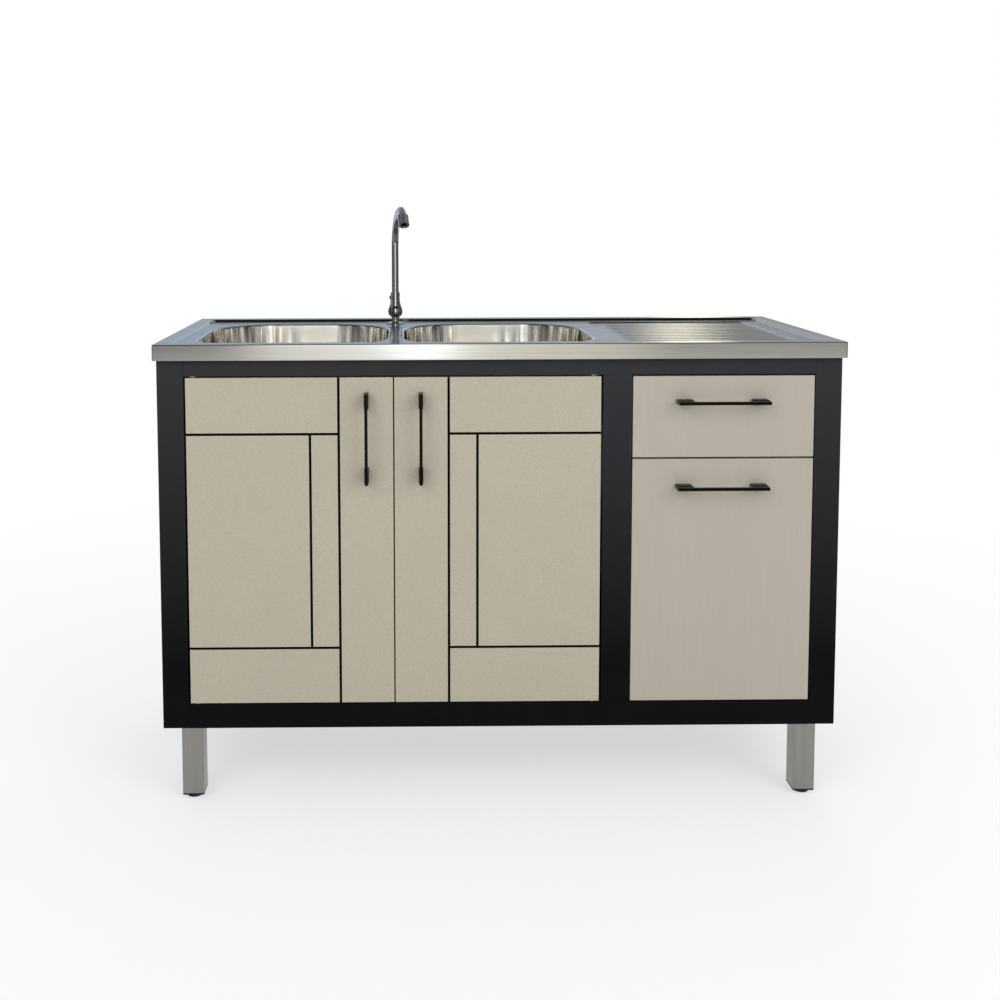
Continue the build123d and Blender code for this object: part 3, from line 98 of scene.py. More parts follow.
class WorktopSizes(bpy.types.PropertyGroup):
    """Pressed stainless worktop"""
    sheet: length("Sheet", "Thickness of the stainless sheet", 1.0)
    corner: length("Corner", "Radius of the worktop's corners seen from above", 4.0)
    edge: length("Edge", "Radius where the border turns down into the lip", 2.5)
    border: length("Border", "Width of the raised border", 25.0)
    border_drop: length("Border drop", "From the raised border down to the deck", 6.0)
    deck_corner: length("Deck corner", "Radius of the sunk deck's corners", 14.0)
    shoulder: length("Shoulder", "Radius of the bends between border and deck", 1.2)
    slope: angle("Slope", "Lean off upright of the steps down to the deck and the drainer", 30.0)
    tap_hole: length("Tap hole", "Radius of the hole for the tap", 10.5)
    drainer_length: length("Drainer length", "Sunk drainer, left to right", 326.0)
    drainer_margin: length("Drainer margin", "From the worktop's front and back edges", 48.0)
    drainer_right: length("Drainer right", "From the worktop's right edge", 59.0)
    drainer_corner: length("Drainer corner", "Radius of the drainer's corners seen from above", 10.0)
    drainer_drop: length("Drainer drop", "From the deck down to the drainer's floor", 2.5)
    drainer_bend: length("Drainer bend", "Radius of the bends round the drainer", 0.9)
    rib_width: length("Rib width", "Width of each rib of the drainer", 13.0)
    rib_height: length("Rib height", "Height of each rib of the drainer", 1.7)
    rib_start: length("Rib start", "Flat strip left of the ribs", 8.0)
    rib_end: length("Rib end", "Flat strip right of the ribs", 4.0)
    rib_fade: length("Rib fade", "Length over which a rib rises at its left end", 30.0)
    rib_fall: length("Rib fall", "Length over which a rib falls at its right end", 8.0)
    ribs: IntProperty(name="Ribs", description="Number of ribs on the drainer", default=13, min=1)


class BowlSizes(bpy.types.PropertyGroup):
    """Deep-drawn bowls"""
    corner: length("Corner", "Radius of a bowl's corners seen from above", 112.0)
    flange: length("Flange", "Flat ring round a bowl that lies in the deck", 2.0)
    rim: length("Rim", "Radius of the bend from the deck into a bowl", 4.0)
    foot: length("Foot", "Radius between a bowl's wall and its floor", 28.0)
    waste: length("Waste", "Radius of the hole for the waste", 42.0)
    taper: angle("Taper", "Lean of a bowl's walls", 3.0)


class HandleSizes(bpy.types.PropertyGroup):
    """Bridge handles"""
    foot: length("Foot", "Length of each foot along the handle", 29.0)
    foot_width: length("Foot width", "Width of the feet across the handle", 7.6)
    foot_depth: length("Foot depth", "Depth of the wide block of each foot", 16.0)
    foot_inset: length("Foot inset", "How much shorter the wide block is, at its inner side", 2.0)
    heel: length("Heel", "How far the inner side of a foot leans", 2.5)
    web: length("Web", "Slant in the corner between a foot and the bar", 1.5)
    width: length("Width", "Width of the bar across the handle", 5.4)
    bar: length("Bar", "Depth of the bar, away from the front", 6.0)
    tip: length("Tip", "How far the bar's front edge stops short of its ends", 1.0)
    slant: length("Slant", "How far the ends lean in towards the front", 1.0)
    edge: length("Edge", "Radius of the edges", 0.7)


class StageSettings(bpy.types.PropertyGroup):
    """Camera and light"""
    lens: FloatProperty(name="Lens", description="Focal length on a 36 mm sensor", default=39.325, min=1.0)
    pitch: angle("Pitch", "How far the camera looks down", 4.127)
    yaw: angle("Yaw", "How far the camera looks to the right", 0.418)
    roll: angle("Roll", "Turn about the line of sight", -0.2025)
    place: FloatVectorProperty(name="Place", description="Where the camera stands",
                               default=(-0.15707, -2.08655, 1.042), size=3, subtype="TRANSLATION")
    shift: FloatVectorProperty(name="Shift", description="Lens shift across and up, in frame widths",
                               default=(0.083, -0.21), size=2, subtype="NONE")
    ambient: FloatProperty(name="Ambient", description="Level of the light from all round",
                           default=0.55, min=0.0)


class FinishColours(bpy.types.PropertyGroup):
    """Colours of the finishes"""
    steel: tint("Stainless", "Brushed stainless worktop", "BABAB8")
    bowl_steel: tint("Bowl stainless", "Polished stainless bowls", "F6F3EC")
    chrome: tint("Chrome", "Bright chrome plate", "A8ABAE")
    leg_steel: tint("Leg stainless", "Polished square tube", "908E8B")
    door: tint("Door foil", "Textured foil of the doors", "B9B2A1")
    front: tint("Front foil", "Wood-grain foil of the drawer fronts", "B3ACA0")
    groove: tint("Groove", "Black paint in the routed grooves", "0C0B0B")
    black: tint("Frame black", "Satin powder coat of the frame", "0E0E0F")
    handle: tint("Handle", "Black nickel plate of the handles", "221F1D")


class SinkUnit(bpy.types.PropertyGroup):
    """Everything that can be changed on the sink unit"""
    worktop: PointerProperty(type=WorktopSizes)
    bowls: PointerProperty(type=BowlSizes)
    handles: PointerProperty(type=HandleSizes)
    stage: PointerProperty(type=StageSettings)
    colours: PointerProperty(type=FinishColours)


def unit():
    """The settings of the sink unit in this scene."""
    return bpy.context.scene.sink_unit


# -------------------------------- materials
FIRST, SECOND, MIXED = 6, 7, 2  # a Mix node's two colour inputs and its colour output
SPAN = (0.3, 0.7)  # nearly all values of a noise lie between these
PATCHY = (0.85, 1.2)  # roughness of better and worse polished patches, as shares of the whole
BURNISHED = 0.07  # roughness where the press has rubbed the sheet smooth
PAINTED_SHEEN_HEIGHTS = (0.25, 0.8)  # heights, in metres, over which a painted sheen turns the black paler
FOIL_BEND = (0.03 * MM, 0.87 * MM)  # depths below a door's face over which the foil bends into a groove
GROOVE_PAINT = (0.7 * MM, 4.1 * MM)  # depths over which a groove is painted


def node(material, kind, inputs=(), **settings):
    """Adds a shader node, sets its options, and sets or links its inputs."""
    made = material.node_tree.nodes.new("ShaderNode" + kind)
    for name, value in settings.items():
        setattr(made, name, value)
    for name, value in dict(inputs).items():
        if isinstance(value, bpy.types.NodeSocket):
            material.node_tree.links.new(value, made.inputs[name])
        else:
            made.inputs[name].default_value = value
    return made


def blank(name):
    """A new material with nodes."""
    material = bpy.data.materials.new(name)
    material.use_nodes = True
    return material


def finish(name, colour, roughness, metallic=0.0, specular=0.5):
    """A new material with one Principled shader, and that shader."""
    material = blank(name)
    shader = material.node_tree.nodes["Principled BSDF"]
    shader.inputs["Base Color"].default_value = (*colour[:3], 1.0)
    shader.inputs["Roughness"].default_value = roughness
    shader.inputs["Metallic"].default_value = metallic
    shader.inputs["Specular IOR Level"].default_value = specular
    return material, shader


def join(material, shader, socket, value):
    """Links a value into one of the shader's sockets."""
    material.node_tree.links.new(value, shader.inputs[socket])


def glow(material, colour, strength):
    """Makes a material shine with a colour instead of taking light."""
    light = node(material, "Emission", {"Color": colour, "Strength": strength}).outputs[0]
    join(material, material.node_tree.nodes["Material Output"], "Surface", light)


def shade(colour, factor):
    """A colour made darker or lighter."""
    return tuple(min(channel * factor, 1.0) for channel in colour[:3]) + (1.0,)


def axes(material, coordinates="Object"):
    """X, Y and Z of a point on the object, or of the way its surface faces."""
    return node(material, "SeparateXYZ", {0: node(material, "TexCoord").outputs[coordinates]}).outputs


def texture(material, size, detail=3.0, roughness=0.5, distortion=0.0):
    """Noise on the object's own coordinates; size gives its grain in millimetres along X, Y and Z."""
    place = node(material, "TexCoord").outputs["Object"]
    scaled = node(material, "Mapping", {"Vector": place, "Scale": [1 / MM / grain for grain in size]})
    noise = {"Vector": scaled.outputs["Vector"], "Scale": 1.0, "Detail": detail, "Roughness": roughness,
             "Distortion": distortion}
    return node(material, "TexNoise", noise).outputs["Fac"]


def blend(material, pattern, span, colour, other, share=1.0):
    """Turns a colour into another, or a share of the way to it, as a pattern rises over a span."""
    part = {"Value": pattern, "From Min": span[0], "From Max": span[1], "To Min": 0.0, "To Max": share}
    factor = node(material, "MapRange", part, clamp=True).outputs["Result"]
    return node(material, "Mix", {0: factor, FIRST: colour, SECOND: other}, data_type="RGBA").outputs[MIXED]


def between(material, *limits):
    """1 where each value lies between its low and its high, otherwise 0."""
    found = 1.0
    for value, low, high in limits:
        middle, reach = (low + high) / 2, (high - low) / 2
        near = node(material, "Math", {0: value, 1: middle, 2: reach}, operation="COMPARE").outputs[0]
        found = node(material, "Math", {0: found, 1: near}, operation="MULTIPLY").outputs[0]
    return found


def surface(material, shader, tone, grain=None, depth=0.0, patches=None, rough=()):
    """Gives the shader its colour, a grain raised by a depth in millimetres, and patches over which its
    roughness goes from one level to another."""
    join(material, shader, "Base Color", tone)
    if grain:
        bump = node(material, "Bump", {"Height": grain, "Distance": depth * MM, "Strength": 1.0})
        join(material, shader, "Normal", bump.outputs["Normal"])
    if patches:
        levels = {"Value": patches, "From Min": SPAN[0], "From Max": SPAN[1],
                  "To Min": rough[0], "To Max": rough[1]}
        join(material, shader, "Roughness", node(material, "MapRange", levels, clamp=True).outputs["Result"])


def lay(material, shader, direction, spread):
    """Lays the scratches in a direction, so that highlights spread across them."""
    shader.inputs["Anisotropic"].default_value = spread
    shader.inputs["Anisotropic Rotation"].default_value = 0.25  # a quarter turn: across the scratches
    join(material, shader, "Tangent", direction)


def burnish(material, shader, facing):
    """Smooths the sloping bends, which the press has rubbed, so that they mirror dark and sharp."""
    slopes = between(material, (facing["Z"], 0.25, 0.75))
    rough = shader.inputs["Roughness"].links[0].from_socket
    levels = {"Factor": slopes, "A": rough, "B": BURNISHED}
    join(material, shader, "Roughness", node(material, "Mix", levels, data_type="FLOAT").outputs["Result"])


def brushed_steel(name, colour, along, roughness, streak, depth, pressed=False):
    """Stainless steel brushed along one axis, 0 to 2: fine parallel scratches spread highlights across
    them. They are really a tenth of a millimetre apart, and are drawn at 1.6 mm so that they show. A
    pressed sheet is brushed across on its end faces, and its bends are burnished."""
    material, shader = finish(name, colour, roughness, metallic=1.0)
    size = [streak if axis == along else 1.6 for axis in range(3)]
    fine = texture(material, size, detail=4.0, roughness=0.6)
    broad = texture(material, [4 * grain for grain in size], detail=2.0)
    if pressed:
        facing = axes(material, "Normal")
        ends = node(material, "Math", {0: facing["X"]}, operation="ABSOLUTE").outputs[0]
        turned = texture(material, (size[1], size[0], size[2]), detail=4.0, roughness=0.6)
        both = {"Factor": ends, "A": fine, "B": turned}
        fine = node(material, "Mix", both, data_type="FLOAT").outputs["Result"]
    tone = blend(material, fine, SPAN, shade(colour, 0.90), shade(colour, 1.05))
    tone = blend(material, broad, (0.35, 0.65), tone, shade(colour, 0.86), 0.45)
    surface(material, shader, tone, fine, depth, broad, [roughness * share for share in PATCHY])
    if pressed:
        burnish(material, shader, facing)
    scratches = {axis: 1.0 if axis == along else 0.02 for axis in range(3)}
    lay(material, shader, node(material, "CombineXYZ", scratches).outputs[0], 0.9)
    return material


def polished_steel(name, colour, centre, rim, rim_colour, roughness=0.1):
    """Polished deep-drawn stainless: polishing marks run round the bowl and draw reflections out into
    upright bands. The marks are finer than the 1.8 mm at which they are drawn to show. The rim takes
    the deck's brushed colour, and is darkened beyond it as painted shade that dims its reflection."""
    material, shader = finish(name, colour, roughness, metallic=1.0)
    place = node(material, "TexCoord").outputs["Object"]
    off = node(material, "VectorMath", {0: place, 1: centre}, operation="SUBTRACT").outputs[0]
    around = node(material, "VectorMath", {0: (0.0, 0.0, 1.0), 1: off}, operation="CROSS_PRODUCT").outputs[0]
    lay(material, shader, around, 0.92)
    marks = texture(material, (60.0, 60.0, 1.8))
    clouds = texture(material, (60.0, 60.0, 160.0), detail=2.0)
    tone = blend(material, marks, (0.35, 0.65), shade(colour, 1.0), shade(colour, 0.85), 0.25)
    tone = blend(material, clouds, (0.4, 0.7), tone, shade(colour, 0.9), 0.2)
    brushed_and_shaded_rim = (rim - 5 * MM, rim - 2 * MM)
    # partly painted shade: the rim takes the deck's colour, darkened further so that its bend mirrors less
    # light
    tone = blend(material, axes(material)["Z"], brushed_and_shaded_rim, tone, shade(rim_colour, 0.8))
    surface(material, shader, tone, marks, 0.001, clouds, [roughness * share for share in PATCHY])
    return material


def chrome_plate(name, colour):
    """Bright chrome plate on brass: mirror-like, with the slight waviness of a polished casting and
    the faint clouds that wiping leaves."""
    material, shader = finish(name, colour, 0.08, metallic=1.0)
    wipe = texture(material, (9.0, 9.0, 30.0), detail=2.0)
    waves = texture(material, (25.0, 25.0, 25.0), detail=0.0)
    tone = blend(material, wipe, (0.35, 0.7), shade(colour, 1.0), shade(colour, 0.8), 0.5)
    surface(material, shader, tone, waves, 0.01, wipe, (0.06, 0.12))
    return material


def powder_coat(name, colour):
    """Satin polyester powder coat on steel: a slight orange peel of 2.2 mm softens reflections, and a
    painted sheen makes the black paler towards the top, as light from above would."""
    material, shader = finish(name, colour, 0.42, specular=0.05)
    peel = texture(material, (2.2, 2.2, 2.2), detail=2.0)
    dust = texture(material, (45.0, 45.0, 80.0), detail=4.0)
    # painted sheen: the black turns much paler towards the top, where light from above would fall
    tone = blend(material, axes(material)["Z"], PAINTED_SHEEN_HEIGHTS, shade(colour, 0.6), shade(colour, 8.5))
    tone = blend(material, dust, (0.35, 0.75), tone, shade(colour, 3.0), 0.1)
    surface(material, shader, tone, peel, 0.05, dust, (0.38, 0.5))
    return material


def black_plate(name, colour):
    """Black nickel plate on cast zinc: dark metal, with a painted sheen that makes it paler where seen at a
    slant.
    """
    material, shader = finish(name, colour, 0.34, metallic=1.0)
    wear = texture(material, (3.0, 3.0, 3.0))
    # painted sheen: the colour turns paler where the surface is seen at a slant
    facing = node(material, "LayerWeight", {"Blend": 0.4}).outputs["Facing"]
    tone = blend(material, facing, (0.1, 0.9), shade(colour, 0.5), shade(colour, 3.0))
    tone = blend(material, wear, (0.35, 0.65), tone, shade(colour, 0.7), 0.4)
    surface(material, shader, tone, patches=wear, rough=(0.28, 0.44))
    return material


def textured_foil(name, colour, groove, low, high):
    """Pressed vinyl foil with a fine leathery grain, drawn at 2.6 mm so that it shows. The grooves are
    matt black inside, and the foil is paler where it bends into them: partly stretched foil, partly a painted
    highlight."""
    material, shader = finish(name, colour, 0.55, specular=0.35)
    grain = texture(material, (2.6, 2.6, 2.6), detail=4.0, roughness=0.65)
    clouds = texture(material, (90.0, 90.0, 120.0), detail=2.0)
    place = axes(material)
    below = node(material, "Math", {0: place["Y"], 1: low.y}, operation="SUBTRACT").outputs[0]
    skin = 0.05 * MM  # keeps the paint off the door's own edges
    stretched_and_highlit_bends = between(material, (below, *FOIL_BEND))
    inside = between(material, (below, *GROOVE_PAINT), (place["X"], low.x + skin, high.x - skin),
                     (place["Z"], low.z + skin, high.z - skin))
    tone = blend(material, grain, (0.34, 0.66), shade(colour, 0.90), shade(colour, 1.09))
    tone = blend(material, clouds, (0.35, 0.7), tone, shade(colour, 0.93), 0.3)
    # paler foil at the grooves' edges: partly stretched foil, partly a painted highlight where the bends
    # would catch the light
    tone = blend(material, stretched_and_highlit_bends, (0.0, 1.0), tone, shade(colour, 1.25))
    tone = blend(material, inside, (0.0, 1.0), tone, (*groove[:3], 1.0))
    surface(material, shader, tone, grain, 0.16)
    gloss = blend(material, inside, (0.0, 1.0), (1.0, 1.0, 1.0, 1.0), (0.05, 0.05, 0.05, 1.0))
    join(material, shader, "Specular Tint", gloss)
    return material


def wood_grain_foil(name, colour):
    """Vinyl foil embossed with a faint upright wood grain: a broad figure, and fibres 2.4 mm wide,
    coarser than the real ones so that they show."""
    material, shader = finish(name, colour, 0.5)
    fibres = texture(material, (2.4, 2.4, 70.0), detail=4.0, roughness=0.6, distortion=0.3)
    figure = texture(material, (38.0, 38.0, 420.0), distortion=0.8)
    tone = blend(material, fibres, (0.32, 0.68), shade(colour, 0.975), shade(colour, 1.02))
    tone = blend(material, figure, (0.46, 0.54), tone, shade(colour, 0.96), 0.35)
    surface(material, shader, tone, fibres, 0.08)
    return material


def board(name, value, size, depth, roughness):
    """A dull surface with a soft, uneven grain of the given size in millimetres."""
    colour = linear(value)
    material, shader = finish(name, colour, roughness)
    grain = texture(material, size, detail=4.0, roughness=0.6)
    tone = blend(material, grain, SPAN, shade(colour, 0.88), shade(colour, 1.1))
    surface(material, shader, tone, grain, depth)
    return material


def hardware(name, value, roughness):
    """Turned or plated small hardware: a soft shine and fine even marks, drawn at 1.4 mm to show."""
    colour = linear(value)
    material, shader = finish(name, colour, roughness, metallic=1.0)
    marks = texture(material, (1.4, 1.4, 6.0))
    tone = blend(material, marks, SPAN, shade(colour, 0.8), shade(colour, 1.1))
    surface(material, shader, tone, marks, 0.02)
    return material


# -------------------------------- modelling
FLAT, ROUNDED, CREASE, SQUARE = (math.radians(turn) for turn in (0.5, 40, 20, 80))  # how far an edge turns


def sunk_to(face, height):
    """Moves a face's corners to a height."""
    for vert in face.verts:
        vert.co.z = height


def rounded_face(bm, width, depth, corner, centre, height, segments=8):
    """A flat face with rounded corners that looks up."""
    place = Matrix.Translation((*centre, height)) @ Matrix.Diagonal((width, depth, 1.0, 1.0))
    made = bmesh.ops.create_grid(bm, x_segments=1, y_segments=1, size=0.5, matrix=place)
    rounded = bmesh.ops.bevel(bm, geom=made["verts"], offset=corner, offset_type="OFFSET", segments=segments,
                              profile=0.5, affect="VERTICES", material=-1)
    return rounded["verts"][0].link_faces[0]


def round_face(bm, radius, centre, height, segments=48):
    """A flat round face that looks up."""
    place = Matrix.Translation((*centre, height))
    made = bmesh.ops.create_circle(bm, cap_ends=True, radius=radius, segments=segments, matrix=place)
    return made["verts"][0].link_faces[0]


def bowl_mouth(bm, side, height):
    """A face with the outline along which a bowl's flange is welded into the deck."""
    sizes = unit().bowls
    low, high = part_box(f"bowl_{side}")
    size = high - low
    flare = sizes.rim + sizes.flange - unit().worktop.sheet
    return rounded_face(bm, size.x + 2 * flare, size.y + 2 * flare, sizes.corner + flare,
                        ((low + high) / 2)[:2], height, segments=32)


def step(bm, face, inwards, height):
    """Draws a face in from its outline and takes it to a height, with a ring of new faces round it."""
    bmesh.ops.inset_region(bm, faces=[face], thickness=inwards, use_boundary=True, use_even_offset=True)
    sunk_to(face, height)


def bend(radius, first, last, steps):
    """Points of an arc as (inwards, down), from one angle off level to another."""
    turns = [first + (last - first) * index / steps for index in range(steps + 1)]
    return [(radius * math.sin(turn), radius * (1 - math.cos(turn))) for turn in turns]


def press(bm, face, path, top):
    """Presses a face down along a path of (inwards, down) points."""
    reached = 0.0
    for inwards, down in path:
        if inwards - reached > TOUCH:
            step(bm, face, inwards - reached, top - down)
            reached = inwards


def shoulder(drop, radius, lean, steps=4):
    """A rounded step down: a bend, a slope that leans off upright, and a bend back to level."""
    upper = bend(radius, 0.0, math.pi / 2 - lean, steps)
    straight = max(drop - 2 * upper[-1][1], 0.0)
    width = 2 * upper[-1][0] + straight * math.tan(lean)
    lower = [(width - inwards, drop - down) for inwards, down in reversed(upper)]
    return upper + lower


def cut_out(bm, face):
    """Deletes a face and gives back its edges."""
    edges = list(face.edges)
    bmesh.ops.delete(bm, geom=[face], context="FACES_ONLY")
    return edges


def fill_between(bm, edges):
    """Fills the flat region between outlines."""
    bmesh.ops.triangle_fill(bm, use_beauty=True, use_dissolve=False, edges=edges, normal=(0.0, 0.0, 1.0))


def round_edges(bm, edges, radius, segments):
    """Rounds edges by a radius."""
    bmesh.ops.bevel(bm, geom=edges, offset=radius, offset_type="OFFSET", segments=segments, profile=0.5,
                    affect="EDGES", material=-1, clamp_overlap=True)


def to_object(bm, name, material):
    """Turns a bmesh into an object in the scene."""
    mesh = bpy.data.meshes.new(name)
    bm.to_mesh(mesh)
    bm.free()
    mesh.materials.append(material)
    made = bpy.data.objects.new(name, mesh)
    bpy.context.scene.collection.objects.link(made)
    return made


def even_shading(piece):
    """Evens a piece's shading over its large faces."""
    piece.modifiers.new("Shading", "WEIGHTED_NORMAL").keep_sharp = True


def to_piece(bm, name, material, body, replaced, wall=0.0):
    """Turns a bmesh into a finished piece that rides on a body and stands for a CAD node."""
    bmesh.ops.remove_doubles(bm, verts=bm.verts, dist=TOUCH)
    bmesh.ops.recalc_face_normals(bm, faces=bm.faces)
    piece = to_object(bm, name, material)
    piece.data.shade_smooth()
    if wall:
        solid = piece.modifiers.new("Sheet", "SOLIDIFY")
        solid.thickness, solid.offset = wall, -1.0
    even_shading(piece)
    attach(piece, body)
    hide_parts(replaced)


def dress(names, material, edge=0.0):
    """Gives CAD nodes a material, and rounded edges by modifiers over their untouched meshes."""
    for name in names:
        piece = NODES[name]
        for slot in piece.material_slots:
            slot.material = material
        if edge:
            piece.modifiers.new("Joined", "WELD").merge_threshold = TOUCH
            flat = piece.modifiers.new("Flat faces", "DECIMATE")
            flat.decimate_type, flat.angle_limit = "DISSOLVE", FLAT
            bevel = piece.modifiers.new("Edges", "BEVEL")
            bevel.width, bevel.segments = edge * MM, 2
            bevel.limit_method, bevel.angle_limit = "ANGLE", ROUNDED
            bevel.use_clamp_overlap = True
            even_shading(piece)


# -------------------------------- operators
# Radii of the rounded edges of CAD nodes, in millimetres
BAR_EDGE = 0.8  # frame bars, timber and doors
PANEL_EDGE = 0.6  # panels and drawer fronts
SMALL_EDGE = 0.5  # tubes and catches
THIN_EDGE = 0.4  # thin boards

RIB_FACES = (80, 14)  # along the ribs, and across each


class SINKUNIT_OT_worktop(bpy.types.Operator):
    """Presses the worktop from one sheet: lip, raised border, sunk deck and ribbed drainer"""
    bl_idname = "sinkunit.worktop"
    bl_label = "Worktop"

    def execute(self, context):
        sizes = unit().worktop
        low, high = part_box("worktop_sheet")
        top, deck = high.z, high.z - sizes.border_drop
        bm = bmesh.new()
        outlines = self.border(bm, low, high, top)
        for side in SIDES:
            outlines += cut_out(bm, bowl_mouth(bm, side, deck))
        tap_low, tap_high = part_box("tap_flange")
        outlines += cut_out(bm, round_face(bm, sizes.tap_hole, ((tap_low + tap_high) / 2)[:2], deck))

        right = high.x - sizes.drainer_right
        depth = high.y - low.y - 2 * sizes.drainer_margin
        middle = (right - sizes.drainer_length / 2, (low.y + high.y) / 2)
        drainer = rounded_face(bm, sizes.drainer_length, depth, sizes.drainer_corner, middle, deck)
        outlines += list(drainer.edges)
        press(bm, drainer, shoulder(sizes.drainer_drop, sizes.drainer_bend, sizes.slope), deck)
        fill_between(bm, outlines)
        rim = self.ribs(bm, right, middle[1], depth, deck - sizes.drainer_drop)
        fill_between(bm, cut_out(bm, drainer) + rim)

        turned_down = [edge for edge in bm.edges if len(edge.link_faces) == 2
                       and edge.calc_face_angle(0.0) > SQUARE]
        round_edges(bm, turned_down, sizes.edge, 5)
        steel = brushed_steel("stainless sheet, brushed lengthwise", unit().colours.steel, along=0,
                              roughness=0.2, streak=260.0, depth=0.002, pressed=True)
        to_piece(bm, "worktop", steel, "cabinet", "worktop_sheet", wall=sizes.sheet)
        return {"FINISHED"}

    def border(self, bm, low, high, top):
        """The lip and the raised border, down to the deck, whose outline it gives back."""
        sizes = unit().worktop
        width, depth = high.x - low.x, high.y - low.y
        centre = ((low.x + high.x) / 2, (low.y + high.y) / 2)
        outside = cut_out(bm, rounded_face(bm, width, depth, sizes.corner, centre, top))
        inside = rounded_face(bm, width - 2 * sizes.border, depth - 2 * sizes.border, sizes.deck_corner,
                              centre, top)
        bmesh.ops.bridge_loops(bm, edges=outside + list(inside.edges))
        hem = bmesh.ops.extrude_edge_only(bm, edges=outside)["geom"]
        for vert in (item for item in hem if isinstance(item, bmesh.types.BMVert)):
            vert.co.z = low.z
        press(bm, inside, shoulder(sizes.border_drop, sizes.shoulder, sizes.slope), top)
        return cut_out(bm, inside)

    def ribs(self, bm, right, middle, depth, floor):
        """A fine grid on the drainer's floor, raised into ribs; gives back the edges round it."""
        sizes = unit().worktop
        pitch = depth / (sizes.ribs + 1)
        start = right - sizes.drainer_length + sizes.rib_start
        end = right - sizes.rib_end
        field = Matrix.Translation(((start + end) / 2, middle, floor))
        field = field @ Matrix.Diagonal((end - start, pitch * sizes.ribs, 1.0, 1.0))
        grid = bmesh.ops.create_grid(bm, x_segments=RIB_FACES[0], y_segments=RIB_FACES[1] * sizes.ribs,
                                     size=0.5, matrix=field)
        for vert in grid["verts"]:
            off = (vert.co.y - middle) / pitch + sizes.ribs / 2
            across = abs(off - math.floor(off) - 0.5) * pitch / (sizes.rib_width / 2)
            rise = min((vert.co.x - start) / sizes.rib_fade, (end - vert.co.x) / sizes.rib_fall, 1.0)
            if across < 1.0 and rise > 0.0:
                rise = rise * rise * (3 - 2 * rise)
                vert.co.z = floor + sizes.rib_height * rise * math.cos(across * math.pi / 2) ** 2
        verts = set(grid["verts"])
        return [edge for edge in bm.edges if edge.is_boundary and verts.issuperset(edge.verts)]


class SINKUNIT_OT_bowls(bpy.types.Operator):
    """Draws the two bowls, with a rolled rim, leaning walls and a rounded foot"""
    bl_idname = "sinkunit.bowls"
    bl_label = "Bowls"

    def execute(self, context):
        colours, sheet = unit().colours, unit().worktop.sheet
        for side in SIDES:
            low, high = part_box(f"bowl_{side}")
            middle = (low + high) / 2
            steel = polished_steel(f"stainless, deep-drawn and polished, {side}", colours.bowl_steel, middle,
                                   high.z, colours.steel)
            depth = high.z - low.z - sheet
            bm = bmesh.new()
            mouth = bowl_mouth(bm, side, high.z)
            press(bm, mouth, self.profile(depth), high.z)
            hole = round_face(bm, unit().bowls.waste, middle[:2], high.z - depth, segments=64)
            fill_between(bm, cut_out(bm, mouth) + cut_out(bm, hole))
            to_piece(bm, f"bowl_drawn_{side}", steel, "cabinet", f"bowl_{side}",
                     wall=sheet)
        return {"FINISHED"}

    def profile(self, depth):
        """Points (inwards, down) over the rolled rim, down the leaning wall and round the foot."""
        sizes = unit().bowls
        rim = [(sizes.flange + inwards, down)
               for inwards, down in bend(sizes.rim, 0.0, math.pi / 2 - sizes.taper, steps=7)]
        wall_in, wall_down = rim[-1]
        foot_in = (wall_in + (depth - sizes.foot - wall_down) * math.tan(sizes.taper)
                   + sizes.foot / math.cos(sizes.taper))
        steps = 12
        turns = [sizes.taper + (math.pi / 2 - sizes.taper) * index / steps for index in range(steps + 1)]
        foot = [(foot_in - sizes.foot * math.cos(turn), depth - sizes.foot * (1 - math.sin(turn)))
                for turn in turns]
        wall = [(wall_in + (foot[0][0] - wall_in) * share, wall_down + (foot[0][1] - wall_down) * share)
                for share in (0.25, 0.5, 0.75)]
        return [(sizes.flange, 0.0)] + rim[1:] + wall + foot


class SINKUNIT_OT_wastes(bpy.types.Operator):
    """Finishes the basket wastes and the pipes below them"""
    bl_idname = "sinkunit.wastes"
    bl_label = "Wastes"

    def execute(self, context):
        colours = unit().colours
        for side in SIDES:
            low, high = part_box(f"strainer_{side}")
            above = high.z + 5 * MM  # so none of the waste gets the rim's duller colour and painted shade
            polished = polished_steel(f"stainless, pressed and polished, {side}", colours.bowl_steel,
                                      (low + high) / 2, above, colours.steel, roughness=0.2)
            dress([f"strainer_{side}", f"strainer_basket_{side}"], polished)
        # Polypropylene: milky white and slightly waxy, and duller on the gripped nuts
        pipes = board("polypropylene, moulded white", "DEDEDA", (6.0, 6.0, 6.0), 0.02, 0.4)
        nuts = board("polypropylene nuts, moulded white", "D3D3CF", (3.0, 3.0, 3.0), 0.04, 0.45)
        dress(["waste_elbow", "waste_tee", "cross_pipe", "waste_trap"], pipes)
        dress(["waste_nuts"], nuts)
        return {"FINISHED"}


class SINKUNIT_OT_tap(bpy.types.Operator):
    """Finishes the chromed swan-neck tap and its brass back nut"""
    bl_idname = "sinkunit.tap"
    bl_label = "Tap"

    def execute(self, context):
        chrome = chrome_plate("chrome plate on brass", unit().colours.chrome)
        dress(["tap_flange", "tap_body", "tap_lever", "tap_spout", "tap_aerator"], chrome)
        # Bare brass: warm yellow with turning marks
        dress(["tap_nut"], hardware("brass, turned", "B89A5E", 0.3))
        return {"FINISHED"}


